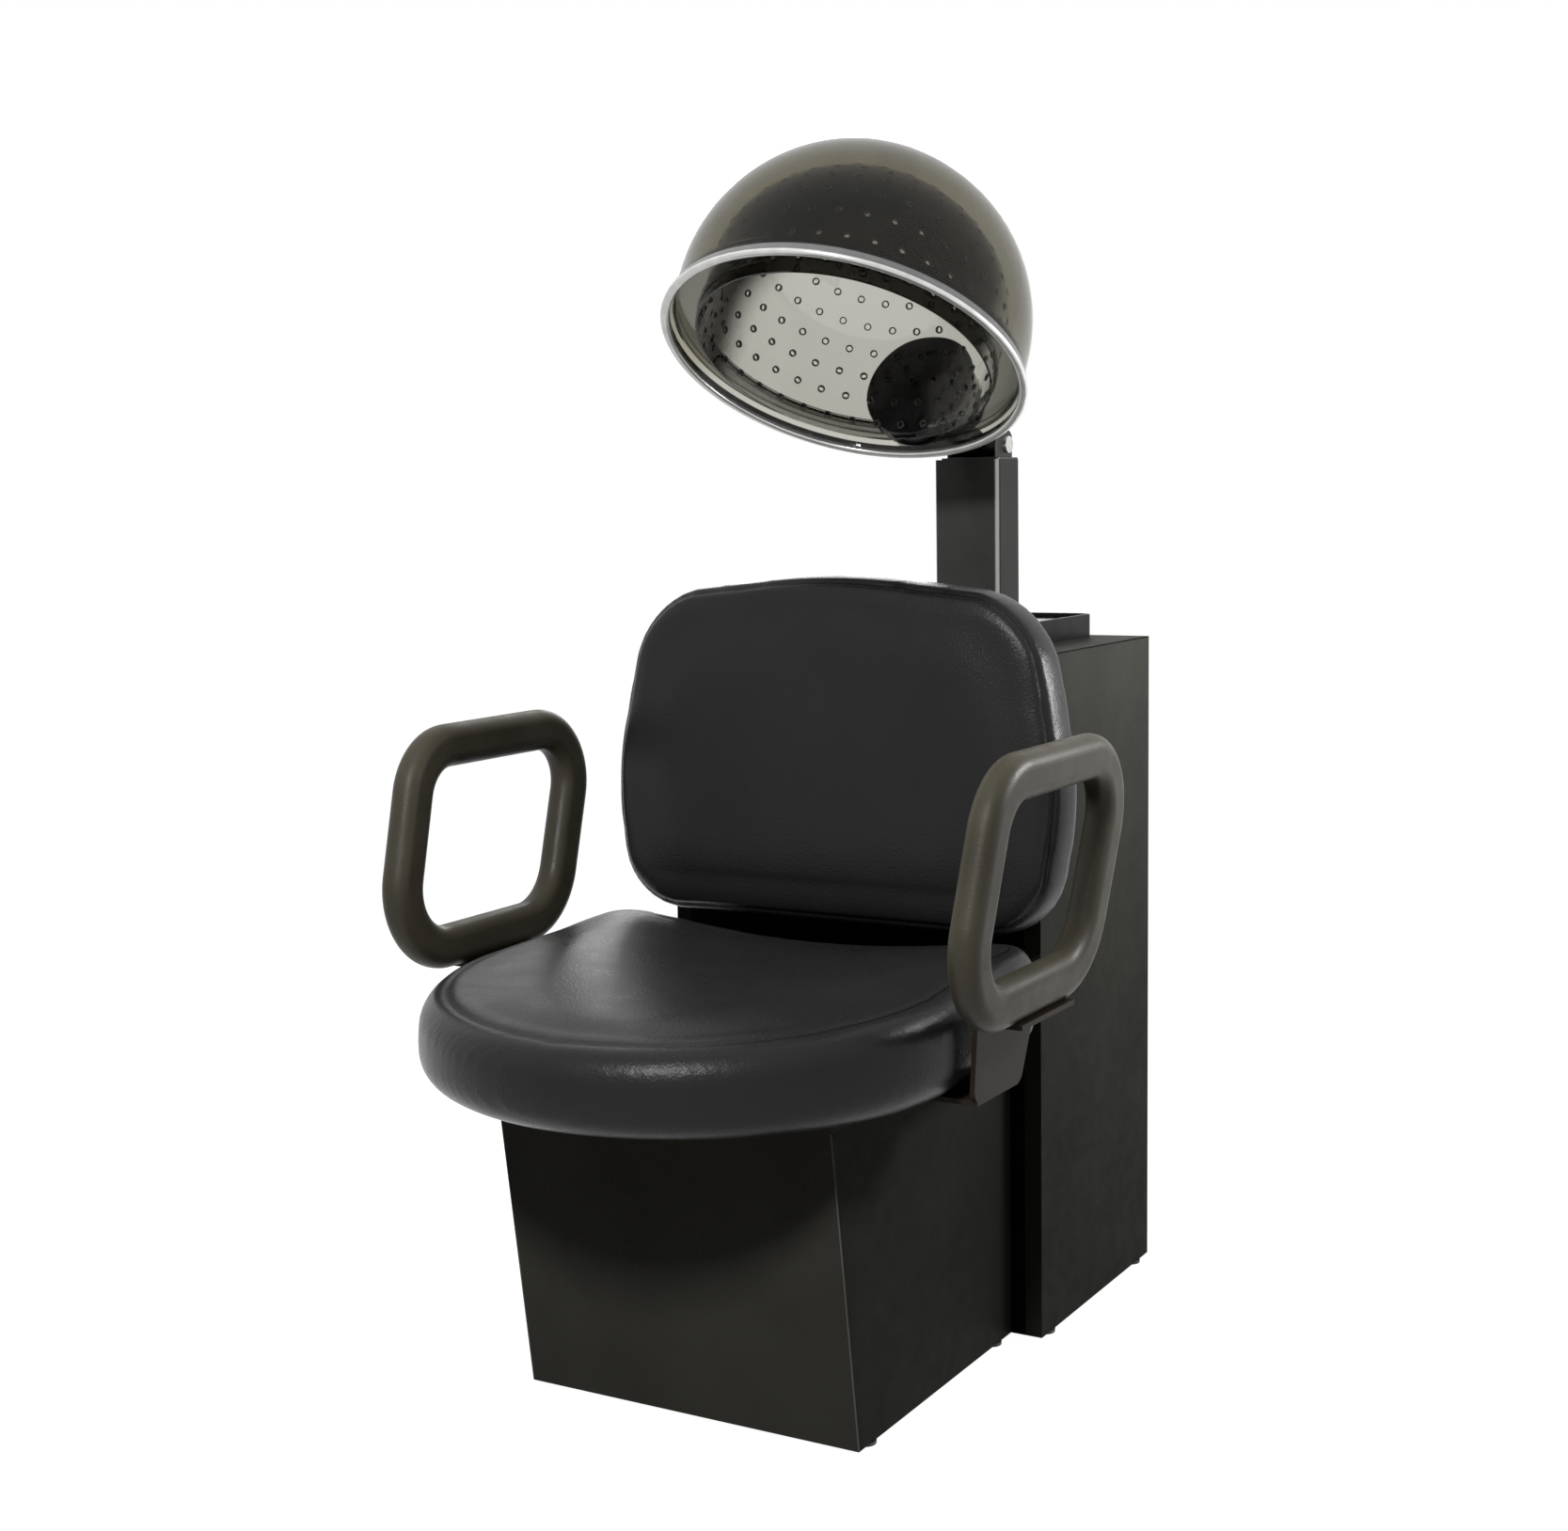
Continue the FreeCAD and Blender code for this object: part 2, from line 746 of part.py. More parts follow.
def arm_bolts():
    """Screws up through the bracket flanges into the arms."""
    flange_low = arm_seat_height - arm_bracket_thickness
    grip = arm_bracket_thickness + arm_bolt_depth - arm_bolt_spare
    return group(bolt(bolt_radius, bolt_head_radius, bolt_head_height, grip,
                      at(side * arm_low_x, y, flange_low), ALONG_Z)
                 for side in (-1, 1) for y in arm_bolt_places())


def bracket_bolts():
    """Screws up through the bracket feet into the seat board."""
    grip = arm_bracket_thickness + seat_board_thickness - bolt_tip_gap
    return group(bolt(bolt_radius, bolt_head_radius, bolt_head_height, grip, at(x, y, bracket_low), ALONG_Z)
                 for x, y in bracket_bolt_places())


# Post

def rounded_bar(width, depth, corner, z_low, length):
    x = width / 2
    y = depth / 2
    corners = [at(-x, post_middle - y, z_low), at(x, post_middle - y, z_low),
               at(x, post_middle + y, z_low), at(-x, post_middle + y, z_low)]
    return prism(corners, [corner] * 4, at(0, 0, length))


def post_channel():
    outer = rounded_bar(channel_width, channel_depth, channel_corner, post_foot, post_length)
    inner = rounded_bar(channel_inner_width, channel_inner_depth, channel_corner - channel_wall, post_foot,
                        post_length)
    body = outer.cut(inner)
    for x, z in post_bolt_places():
        body = body.cut(rod(bolt_radius + bolt_clearance, channel_wall, at(x, post_front, z), ALONG_Y))
    return body.cut(rod(lock_screw_radius + bolt_clearance, 2 * channel_wall,
                        at(0, post_rear - 2 * channel_wall, lock_height), ALONG_Y))


def post_cover():
    """A folded steel cover that stands in front of the channel above the rear box."""
    half = cover_width / 2
    rear = post_front - cover_gap
    front = rear - cover_depth
    low = rear_box_height + cover_foot_gap
    corners = [at(-half, front, low), at(half, front, low), at(half, rear, low), at(-half, rear, low)]
    body = prism(corners, [cover_corner, cover_corner, 0, 0], at(0, 0, post_top - low))
    hollow = slab(-half + cover_wall, half - cover_wall, front + cover_wall, rear, low, post_top - cover_wall)
    body = body.cut(hollow)
    # Two welded blocks hold the cover off the channel.
    block = channel_width / 4
    lifts = [slab(-block, block, front + cover_wall / 2, post_front, z, z + cover_block_height)
             for z in (low + cover_block_inset, post_top - cover_block_inset - cover_block_height)]
    return body.fuse(lifts).removeSplitter()


def post_bolts():
    return group(bolt(bolt_radius, bolt_head_radius, bolt_head_height, panel + channel_wall,
                      at(x, rear_box_rear - panel, z), ALONG_Y) for x, z in post_bolt_places())


def post_bush():
    """A plastic bush in the channel's mouth, with a thin flange on top, that guides the tube."""
    body = rounded_bar(channel_inner_width, channel_inner_depth, channel_corner - channel_wall,
                       post_top - bush_length, bush_length)
    flange = rounded_bar(channel_width - 2 * bush_flange_inset, channel_depth - 2 * bush_flange_inset,
                         channel_corner, post_top, bush_flange)
    body = body.fuse(flange)
    hole = rounded_bar(tube_width + 2 * slide_clearance, tube_depth + 2 * slide_clearance, channel_corner,
                       post_top - bush_length, bush_length + bush_flange)
    return body.cut(hole).removeSplitter()


def tube_bush():
    """The tube's lower plastic bush, which runs in the channel."""
    body = rounded_bar(channel_inner_width - 2 * slide_clearance, channel_inner_depth - 2 * slide_clearance,
                       channel_corner - channel_wall, tube_foot, bush_length)
    return body.cut(rounded_bar(tube_width, tube_depth, channel_corner, tube_foot, bush_length))


def slide_tube():
    top = post_top + tube_rise
    body = rounded_bar(tube_width, tube_depth, channel_corner, tube_foot, tube_length)
    body = body.cut(rounded_bar(tube_width - 2 * tube_wall, tube_depth - 2 * tube_wall,
                                channel_corner - tube_wall, tube_foot, tube_length))
    # The front and rear walls stop at the post's mouth, so that two rounded cheeks carry the hinge pin.
    mouth = post_top + bush_flange + tube_mouth_gap
    window = slab(-tube_width / 2 + tube_wall, tube_width / 2 - tube_wall,
                  post_middle - channel_depth, post_middle + channel_depth, mouth, top + tube_rise)
    body = body.cut(window)
    half = tube_depth / 2
    nose = top - hinge_height
    keep = [at(-channel_width, post_middle + side * half, z) for side, z in
            ((-1, tube_foot), (1, tube_foot), (1, top), (-1, top))]
    body = body.common(prism(keep, [0, 0, nose, nose], at(2 * channel_width, 0, 0)))
    return body.cut(rod(hinge_pin_radius, 2 * channel_width, at(-channel_width, post_middle, hinge_height),
                        ALONG_X))


def lock_plate():
    """A tapped steel block welded to the back of the channel, for the height lock screw."""
    half = lock_plate_size / 2
    block = slab(-half, half, post_rear, post_rear + lock_plate_thickness,
                 lock_height - half, lock_height + half)
    upright = [e for e in block.Edges if e.BoundBox.YLength > 1]
    block = block.makeFillet(lock_plate_corner, upright)
    return block.cut(rod(lock_screw_radius + running_clearance, lock_plate_thickness,
                         at(0, post_rear, lock_height), ALONG_Y))


def lock_knob():
    """A hand knob and its screw, whose tip presses on the sliding tube."""
    tube_rear = post_middle + tube_depth / 2
    tip = tube_rear + lock_pad_gap
    screw = rod(lock_screw_radius, lock_knob_face - tip, at(0, tip, lock_height), ALONG_Y)
    grip = rod(lock_knob_radius, lock_knob_length, at(0, lock_knob_face, lock_height), ALONG_Y)
    grip = grip.makeFillet(lock_knob_round, [e for e in grip.Edges if e.Closed])
    reach = lock_knob_radius + lock_knob_lobe_offset
    for i in range(lock_knob_lobes):
        angle = 2 * math.pi * (i + 0.5) / lock_knob_lobes
        place = at(reach * math.cos(angle), lock_knob_face, lock_height + reach * math.sin(angle))
        grip = grip.cut(rod(lock_knob_lobe_radius, lock_knob_length, place, ALONG_Y))
    return grip.fuse(screw).removeSplitter()


# Hood

def tilt_hood(shape):
    placed = shape.copy()
    placed.rotate(ORIGIN, ALONG_X, -hood_tilt)
    placed.translate(at(0, hood_mouth_y, hood_mouth_z))
    return placed


def hinge_in_hood():
    """The hinge axis in the hood's own upright frame."""
    angle = math.radians(hood_tilt)
    dy = post_middle - hood_mouth_y
    dz = hinge_height - hood_mouth_z
    return at(0, dy * math.cos(angle) - dz * math.sin(angle), dy * math.sin(angle) + dz * math.cos(angle))


def dome_profile(shrink):
    """Half of the dome's section: skirt and quarter round crown, closed along the axis."""
    radius = dome_radius - shrink
    top = dome_skirt + radius
    corner = math.radians(45)
    middle = at(radius * math.cos(corner), 0, dome_skirt + radius * math.sin(corner))
    return [Part.LineSegment(at(radius, 0, 0), at(radius, 0, dome_skirt)),
            Part.Arc(at(radius, 0, dome_skirt), middle, at(0, 0, top)),
            Part.LineSegment(at(0, 0, top), ORIGIN),
            Part.LineSegment(ORIGIN, at(radius, 0, 0))]


def turned(segments):
    wire = Part.Wire([s.toShape() for s in segments])
    return Part.Face(wire).revolve(ORIGIN, ALONG_Z, 360)


def dome_solid(shrink):
    return turned(dome_profile(shrink))


def lip():
    """The flared lip at the mouth, as thick as the dome."""
    inner = dome_radius - dome_wall
    outline = [at(inner + lip_flare, 0, 0), at(dome_radius + lip_flare, 0, 0), at(dome_radius, 0, lip_height),
               at(inner, 0, lip_height)]
    return Part.Face(Part.makePolygon(outline + outline[:1])).revolve(ORIGIN, ALONG_Z, 360)


def blower_rod(radius, y_low, y_high):
    return rod(radius, y_high - y_low, at(0, y_low, blower_height), ALONG_Y)


def outer_dome():
    shell = dome_solid(0).cut(dome_solid(dome_wall))
    shell = shell.cut(rod(2 * dome_radius, lip_height, ORIGIN)).fuse(lip()).removeSplitter()
    return tilt_hood(shell.cut(blower_rod(dome_port_radius, 0, 2 * dome_radius)))


def rim_trim():
    """A bright edging clipped over the lip: a bead below, a long leg outside and a short one inside."""
    rake = lip_flare / lip_height
    lip_outer = dome_radius + lip_flare + trim_clearance
    lip_inner = dome_radius - dome_wall + lip_flare - trim_clearance
    outer = lip_outer + trim_wall
    inner = lip_inner - trim_wall
    bead = Part.Arc(at(inner, 0, 0), at((inner + outer) / 2, 0, -trim_size), at(outer, 0, 0))
    outward = rake * trim_outer_leg
    inward = rake * trim_inner_leg
    corners = [at(outer, 0, 0), at(outer - outward, 0, trim_outer_leg),
               at(lip_outer - outward, 0, trim_outer_leg), at(lip_outer, 0, 0), at(lip_inner, 0, 0),
               at(lip_inner - inward, 0, trim_inner_leg), at(inner - inward, 0, trim_inner_leg),
               at(inner, 0, 0)]
    sides = [Part.LineSegment(first, second) for first, second in zip(corners, corners[1:])]
    return tilt_hood(turned([bead] + sides))


def mouth_ring():
    """A shallow channel that closes the air space between the dome and the bowl."""
    outer = dome_radius - dome_wall - ring_clearance
    inner = bowl_radius + ring_clearance
    low = lip_height
    floor = tube(outer, inner, mouth_ring_thickness, at(0, 0, low + mouth_ring_height))
    outer_wall = tube(outer, outer - mouth_ring_wall, mouth_ring_depth, at(0, 0, low))
    inner_wall = tube(inner + mouth_ring_wall, inner, mouth_ring_depth, at(0, 0, low))
    ring = floor.fuse([outer_wall, inner_wall]).removeSplitter()
    return tilt_hood(ring.cut(blower_rod(blower_radius + ring_clearance, 0, 2 * dome_radius)))


def bowl_arcs(shrink):
    """The bowl's section above its skirt: a shoulder arc and a flatter crown arc that meet in tangency."""
    radius = bowl_radius - shrink
    rise = bowl_height - bowl_skirt - shrink
    shoulder = bowl_shoulder_radius - shrink
    offset = radius - shoulder
    crown = (offset ** 2 + rise ** 2 - shoulder ** 2) / (2 * (rise - shoulder))
    meet = math.atan2(offset, crown - rise)
    return shoulder, offset, crown, meet


def bowl_point(angle, shrink):
    """A point of the section where its outward direction stands at this angle from the axis."""
    shoulder, offset, crown, meet = bowl_arcs(shrink)
    if angle > meet:
        return at(offset + shoulder * math.sin(angle), 0, bowl_skirt + shoulder * math.cos(angle))
    centre = bowl_height - shrink - crown
    return at(crown * math.sin(angle), 0, centre + crown * math.cos(angle))


def bowl_solid(shrink):
    """The bowl filled in: a straight skirt under a shoulder and a flatter crown."""
    meet = bowl_arcs(shrink)[3]
    quarter = math.pi / 2
    rim = at(bowl_radius - shrink, 0, 0)
    spring = bowl_point(quarter, shrink)
    joint = bowl_point(meet, shrink)
    apex = bowl_point(0, shrink)
    return turned([Part.LineSegment(rim, spring),
                   Part.Arc(spring, bowl_point((quarter + meet) / 2, shrink), joint),
                   Part.Arc(joint, bowl_point(meet / 2, shrink), apex),
                   Part.LineSegment(apex, ORIGIN), Part.LineSegment(ORIGIN, rim)])


def hole_rows():
    """The rows of air holes, a pitch apart up the wall: each a point of the section and its angle."""
    rows = []
    height = first_hole_row
    while height < bowl_skirt:
        rows.append((at(bowl_radius, 0, height), math.pi / 2))
        height += hole_pitch
    shoulder, offset, crown, meet = bowl_arcs(0)
    travelled = height - bowl_skirt
    shoulder_length = shoulder * (math.pi / 2 - meet)
    while True:
        if travelled < shoulder_length:
            angle = math.pi / 2 - travelled / shoulder
        else:
            angle = meet - (travelled - shoulder_length) / crown
        point = bowl_point(angle, 0)
        if point.x < last_hole_row_radius:
            break
        rows.append((point, angle))
        travelled += hole_pitch
    return rows


def air_holes():
    drills = []
    for index, (point, angle) in enumerate(hole_rows()):
        count = int(round(2 * math.pi * point.x / hole_pitch))
        for i in range(count):
            turn = 2 * math.pi * (i + 0.5 * (index % 2)) / count
            outward = at(math.cos(turn) * math.sin(angle), math.sin(turn) * math.sin(angle), math.cos(angle))
            place = at(point.x * math.cos(turn), point.x * math.sin(turn), point.z)
            drills.append(rod(hole_radius, 4 * bowl_wall, place - outward * (3 * bowl_wall), outward))
    return drills


def inner_bowl():
    shell = bowl_solid(0).cut(bowl_solid(bowl_wall))
    shell = shell.cut(group(air_holes()))
    return tilt_hood(shell)


def bowl_top_spacer():
    """A rubber stop between the bowl's crown and the dome."""
    low = bowl_height + spacer_clearance
    high = dome_apex - dome_wall - spacer_clearance
    body = rod(spacer_radius, high - low + 20, at(0, 0, low - 10))
    body = body.cut(bowl_solid(-spacer_clearance)).common(dome_solid(dome_wall + spacer_clearance))
    return tilt_hood(body)


# Blower

def screw_angles():
    return [math.pi / 4 + 2 * math.pi * i / housing_screw_count for i in range(housing_screw_count)]


def around_blower(radius, angle, y):
    return at(radius * math.cos(angle), y, blower_height + radius * math.sin(angle))


def housing_screw_grip():
    return cover_rear - blower_front - 2 * blower_wall


def blower_housing():
    """The glossy round housing inside the hood, with air outlets round its wall."""
    seat = dome_radius - dome_wall - blower_seat_clearance
    inner = blower_radius - blower_wall
    body = blower_rod(blower_radius, blower_front, 2 * seat)
    face_rim = [e for e in body.Edges if e.Closed and e.BoundBox.YMax < blower_front + 0.1]
    body = body.makeFillet(blower_face_round, face_rim)
    body = body.common(dome_solid(dome_wall + blower_seat_clearance))
    body = body.cut(blower_rod(inner, blower_front + blower_wall, 2 * seat))
    for i in range(outlet_count):
        angle = 360.0 * i / outlet_count
        slot = slab(0, 2 * blower_radius, blower_front + blower_wall,
                    blower_front + blower_wall + outlet_depth,
                    blower_height - outlet_width / 2, blower_height + outlet_width / 2)
        slot.rotate(at(0, 0, blower_height), ALONG_Y, angle)
        body = body.cut(slot)
    for angle in screw_angles():
        boss_start = around_blower(housing_boss_circle, angle, blower_front + blower_wall / 2)
        boss = rod(housing_boss_radius, seat, boss_start, ALONG_Y).common(dome_solid(0))
        hole_start = around_blower(housing_boss_circle, angle, cover_rear - housing_screw_grip())
        screw_hole = rod(small_screw_radius, seat, hole_start, ALONG_Y)
        body = body.fuse(boss).cut(screw_hole)
    return tilt_hood(body.removeSplitter())


def knob_places():
    return [-knob_offset, knob_offset]


def arm_screw_places():
    return [(sx * arm_screw_x, blower_height + sz * arm_screw_z) for sx in (-1, 1) for sz in (-1, 1)]


def intake_angles():
    """Groups of air slots between the screw bosses, in degrees round the blower's axis."""
    middle = (intake_slots - 1) / 2
    return [360.0 * group_index / intake_groups + intake_slot_pitch * (i - middle)
            for group_index in range(intake_groups) for i in range(intake_slots)]


def rear_cover():
    """The cup outside the dome that closes the blower, with air slots, knob holes and screw bosses."""
    inner_radius = cover_radius - blower_wall
    body = blower_rod(cover_radius, dome_skirt, cover_rear)
    rear_rim = [e for e in body.Edges if e.Closed and e.BoundBox.YMin > cover_rear - 0.1]
    body = body.makeFillet(cover_rear_round, rear_rim)
    hollow = blower_rod(inner_radius, dome_skirt, cover_rear - blower_wall)
    hollow_rim = [e for e in hollow.Edges if e.Closed and e.BoundBox.YMin > cover_rear - blower_wall - 0.1]
    body = body.cut(hollow.makeFillet(cover_rear_round - blower_wall, hollow_rim))
    boss_length = cover_rear - blower_wall / 2 - dome_skirt
    bosses = [rod(housing_boss_radius, boss_length,
                  around_blower(housing_boss_circle, angle, dome_skirt), ALONG_Y)
              for angle in screw_angles()]
    body = body.fuse(bosses)
    body = body.cut(dome_solid(-blower_seat_clearance))
    for angle in screw_angles():
        body = body.cut(rod(small_screw_radius + bolt_clearance, 2 * cover_rear,
                            around_blower(housing_boss_circle, angle, 0), ALONG_Y))
    slot_rear = cover_rear - cover_rear_round
    for angle in intake_angles():
        slot = slab(inner_radius - blower_wall, cover_radius + blower_wall,
                    slot_rear - intake_slot_length, slot_rear,
                    blower_height - intake_slot_width / 2, blower_height + intake_slot_width / 2)
        slot.rotate(at(0, 0, blower_height), ALONG_Y, angle)
        body = body.cut(slot)
    for x in knob_places():
        body = body.cut(rod(knob_stem_radius + bolt_clearance, 4 * blower_wall,
                            at(x, cover_rear - 2 * blower_wall, blower_height), ALONG_Y))
    for x, z in arm_screw_places():
        hole_start = at(x, cover_rear - 2 * blower_wall, z)
        body = body.cut(rod(small_screw_radius, 4 * blower_wall, hole_start, ALONG_Y))
    return tilt_hood(body.removeSplitter())


def housing_screws():
    """Long screws from the rear cover through the dome's port into the front housing."""
    return tilt_hood(group(bolt(small_screw_radius, small_screw_head, small_screw_head_height,
                                housing_screw_grip(),
                                around_blower(housing_boss_circle, angle, cover_rear), at(0, -1, 0))
                           for angle in screw_angles()))


def motor_rear():
    return cover_rear - blower_wall - motor_rear_gap


def motor():
    rear = motor_rear()
    body = rod(motor_radius, motor_length, at(0, rear - motor_length, blower_height), ALONG_Y)
    rims = [e for e in body.Edges if e.Closed]
    body = body.makeFillet(motor_round, rims)
    return tilt_hood(body.cut(rod(motor_shaft_radius + running_clearance, motor_length,
                                  at(0, rear - motor_length, blower_height), ALONG_Y)))


def motor_bracket():
    """A strap behind the motor, with two posts that stand on the rear cover."""
    rear = motor_rear()
    half = motor_bracket_width / 2
    reach = motor_radius + motor_bracket_overhang
    strap = slab(-half, half, rear, rear + motor_bracket_thickness,
                 blower_height - reach, blower_height + reach)
    foot_reach = reach - motor_foot_radius
    feet = [rod(motor_foot_radius, motor_rear_gap - motor_bracket_thickness,
                at(0, rear + motor_bracket_thickness, blower_height + side * foot_reach), ALONG_Y)
            for side in (-1, 1)]
    body = strap.fuse(feet).removeSplitter()
    return tilt_hood(body.cut(rod(motor_shaft_radius + bolt_clearance, motor_bracket_thickness,
                                  at(0, rear, blower_height), ALONG_Y)))


def impeller_rear():
    return blower_front + blower_wall + impeller_front_gap + impeller_depth


def fan_shaft():
    start = blower_front + blower_wall + impeller_front_gap
    return tilt_hood(rod(motor_shaft_radius, motor_rear() - start, at(0, start, blower_height), ALONG_Y))


def fan_impeller():
    """A centrifugal wheel: a back plate, a hub and a ring of blades."""
    start = blower_front + blower_wall + impeller_front_gap
    body = rod(impeller_radius, impeller_plate, at(0, start, blower_height), ALONG_Y)
    body = body.fuse(rod(impeller_hub_radius, impeller_depth, at(0, start, blower_height), ALONG_Y))
    blades = []
    for i in range(blade_count):
        blade = slab(impeller_radius - blade_length, impeller_radius - blade_tip_gap,
                     start, start + impeller_depth,
                     blower_height - blade_thickness / 2, blower_height + blade_thickness / 2)
        blade.rotate(at(0, 0, blower_height), ALONG_Y, 360.0 * i / blade_count)
        blades.append(blade)
    body = body.fuse(blades).removeSplitter()
    return tilt_hood(body.cut(rod(motor_shaft_radius, impeller_depth, at(0, start, blower_height), ALONG_Y)))


def heater_y():
    return impeller_rear() + heater_gap + heater_wire_radius


def heater_ring():
    ring = Part.makeTorus(heater_radius, heater_wire_radius, at(0, heater_y(), blower_height), ALONG_Y)
    return tilt_hood(ring)


def heater_posts():
    """Two ceramic posts that hold the heating ring off the rear cover."""
    half = heater_post_width / 2
    rear = cover_rear - blower_wall
    start = heater_y() - heater_wire_radius - heater_post_grip
    groove_radius = heater_wire_radius + heater_groove_clearance
    hold = Part.makeTorus(heater_radius, groove_radius, at(0, heater_y(), blower_height), ALONG_Y)
    posts = []
    for side in (-1, 1):
        z = blower_height + side * heater_radius
        post = slab(-half, half, start, rear, z - 2 * half, z + half) if side > 0 else \
            slab(-half, half, start, rear, z - half, z + 2 * half)
        posts.append(post.cut(hold))
    return tilt_hood(group(posts))


def switch_body(x):
    half = switch_size / 2
    rear = cover_rear - blower_wall
    body = slab(x - half, x + half, rear - switch_depth, rear, blower_height - half, blower_height + half)
    return body.cut(rod(knob_stem_radius + running_clearance, switch_depth,
                        at(x, rear - switch_depth, blower_height), ALONG_Y))


def control_knob(x):
    """A fluted knob on its stem, with a raised pointer line."""
    face = cover_rear + knob_face_gap
    grip = rod(knob_radius, knob_length, at(x, face, blower_height), ALONG_Y)
    for i in range(knob_flute_count):
        angle = 2 * math.pi * (i + 0.5) / knob_flute_count
        place = at(x + knob_radius * math.cos(angle), face + knob_skirt,
                   blower_height + knob_radius * math.sin(angle))
        grip = grip.cut(rod(knob_flute_radius, knob_length, place, ALONG_Y))
    half = pointer_width / 2
    pointer = slab(x - half, x + half, face + knob_length, face + knob_length + pointer_proud,
                   blower_height, blower_height + knob_radius - pointer_inset)
    stem_start = cover_rear - blower_wall - switch_depth
    stem = rod(knob_stem_radius, face - stem_start, at(x, stem_start, blower_height), ALONG_Y)
    return tilt_hood(grip.fuse([pointer, stem]).removeSplitter())


# Hood arm and hinge

def hood_arm():
    """A cast arm: a plate on the rear cover, a web, and a barrel on the hinge pin."""
    hinge = hinge_in_hood()
    plate = slab(-arm_plate_width / 2, arm_plate_width / 2, cover_rear, cover_rear + arm_plate_thickness,
                 blower_height - arm_plate_height / 2, blower_height + arm_plate_height / 2)
    plate = plate.makeFillet(arm_plate_corner, [e for e in plate.Edges if e.BoundBox.YLength > 1])
    for x, z in arm_screw_places():
        plate = plate.cut(rod(small_screw_radius + bolt_clearance, arm_plate_thickness,
                              at(x, cover_rear, z), ALONG_Y))
    half_barrel = tube_width / 2 - tube_wall - hinge_washer_thickness
    barrel = rod(hinge_barrel_radius, 2 * half_barrel, at(-half_barrel, hinge.y, hinge.z), ALONG_X)
    start = at(0, cover_rear + arm_plate_thickness / 2, blower_height)
    along = (hinge - start).normalize()
    across = at(0, -along.z, along.y)
    half = arm_web_height / 2
    corners = [start - across * half, hinge - across * half, hinge + across * half, start + across * half]
    web = prism([c - ALONG_X * (arm_web_width / 2) for c in corners], [0, 0, 0, 0], ALONG_X * arm_web_width)
    web = web.cut(slab(-dome_radius, dome_radius, 0, cover_rear, -dome_radius, dome_radius))
    body = plate.fuse([web, barrel]).removeSplitter()
    bore = rod(hinge_pin_radius + running_clearance, 4 * half_barrel,
               at(-2 * half_barrel, hinge.y, hinge.z), ALONG_X)
    return tilt_hood(body.cut(bore))


def arm_screws():
    face = cover_rear + arm_plate_thickness
    grip = arm_plate_thickness + blower_wall
    return tilt_hood(group(bolt(small_screw_radius, small_screw_head, small_screw_head_height, grip,
                                at(x, face, z), at(0, -1, 0)) for x, z in arm_screw_places()))


def hinge_pin():
    """The hinge bolt through the tube's cheeks, with a nut on its far end."""
    half = tube_width / 2
    pin = rod(hinge_pin_radius, 2 * half, at(-half, post_middle, hinge_height), ALONG_X)
    caps = [rod(hinge_nut_radius, hinge_nut_thickness, at(half, post_middle, hinge_height), ALONG_X),
            rod(hinge_nut_radius, hinge_nut_thickness,
                at(-half - hinge_nut_thickness, post_middle, hinge_height), ALONG_X)]
    return pin.fuse(caps).removeSplitter()


def hinge_washers():
    """Friction washers between the tube's cheeks and the arm's barrel."""
    inner = tube_width / 2 - tube_wall
    washer = tube(hinge_barrel_radius, hinge_pin_radius + running_clearance, hinge_washer_thickness,
                  at(inner - hinge_washer_thickness, post_middle, hinge_height), ALONG_X)
    return group([mirrored(washer), washer])


# Tray and cord outlet

def tray_outline(inset, height):
    half = tray_width / 2 - inset
    corners = [at(-half, tray_front + inset, height), at(half, tray_front + inset, height),
               at(half, tray_rear - inset, height), at(-half, tray_rear - inset, height)]
    return corners


def tray():
    low = rear_box_height
    body = prism(tray_outline(0, low), [tray_corner] * 4, at(0, 0, tray_height))
    upper_rim = [e for e in body.Edges if e.BoundBox.ZMin > low + tray_height - 0.1]
    body = body.makeFillet(tray_rim_round, upper_rim)
    hollow = prism(tray_outline(tray_wall, low + tray_floor), [tray_corner - tray_wall] * 4,
                   at(0, 0, tray_height))
    return body.cut(hollow)


def tray_liner():
    corner = tray_corner - tray_wall
    return prism(tray_outline(tray_wall + liner_clearance, rear_box_height + tray_floor), [corner] * 4,
                 at(0, 0, liner_thickness))


def cord_gland():
    start = at(gland_x, rear_box_rear - panel, gland_height)
    body = rod(gland_radius, panel, start, ALONG_Y)
    flange = rod(gland_flange_radius, gland_flange, at(gland_x, rear_box_rear, gland_height), ALONG_Y)
    body = body.fuse(flange).removeSplitter()
    return body.cut(rod(gland_bore, panel + gland_flange, start, ALONG_Y))


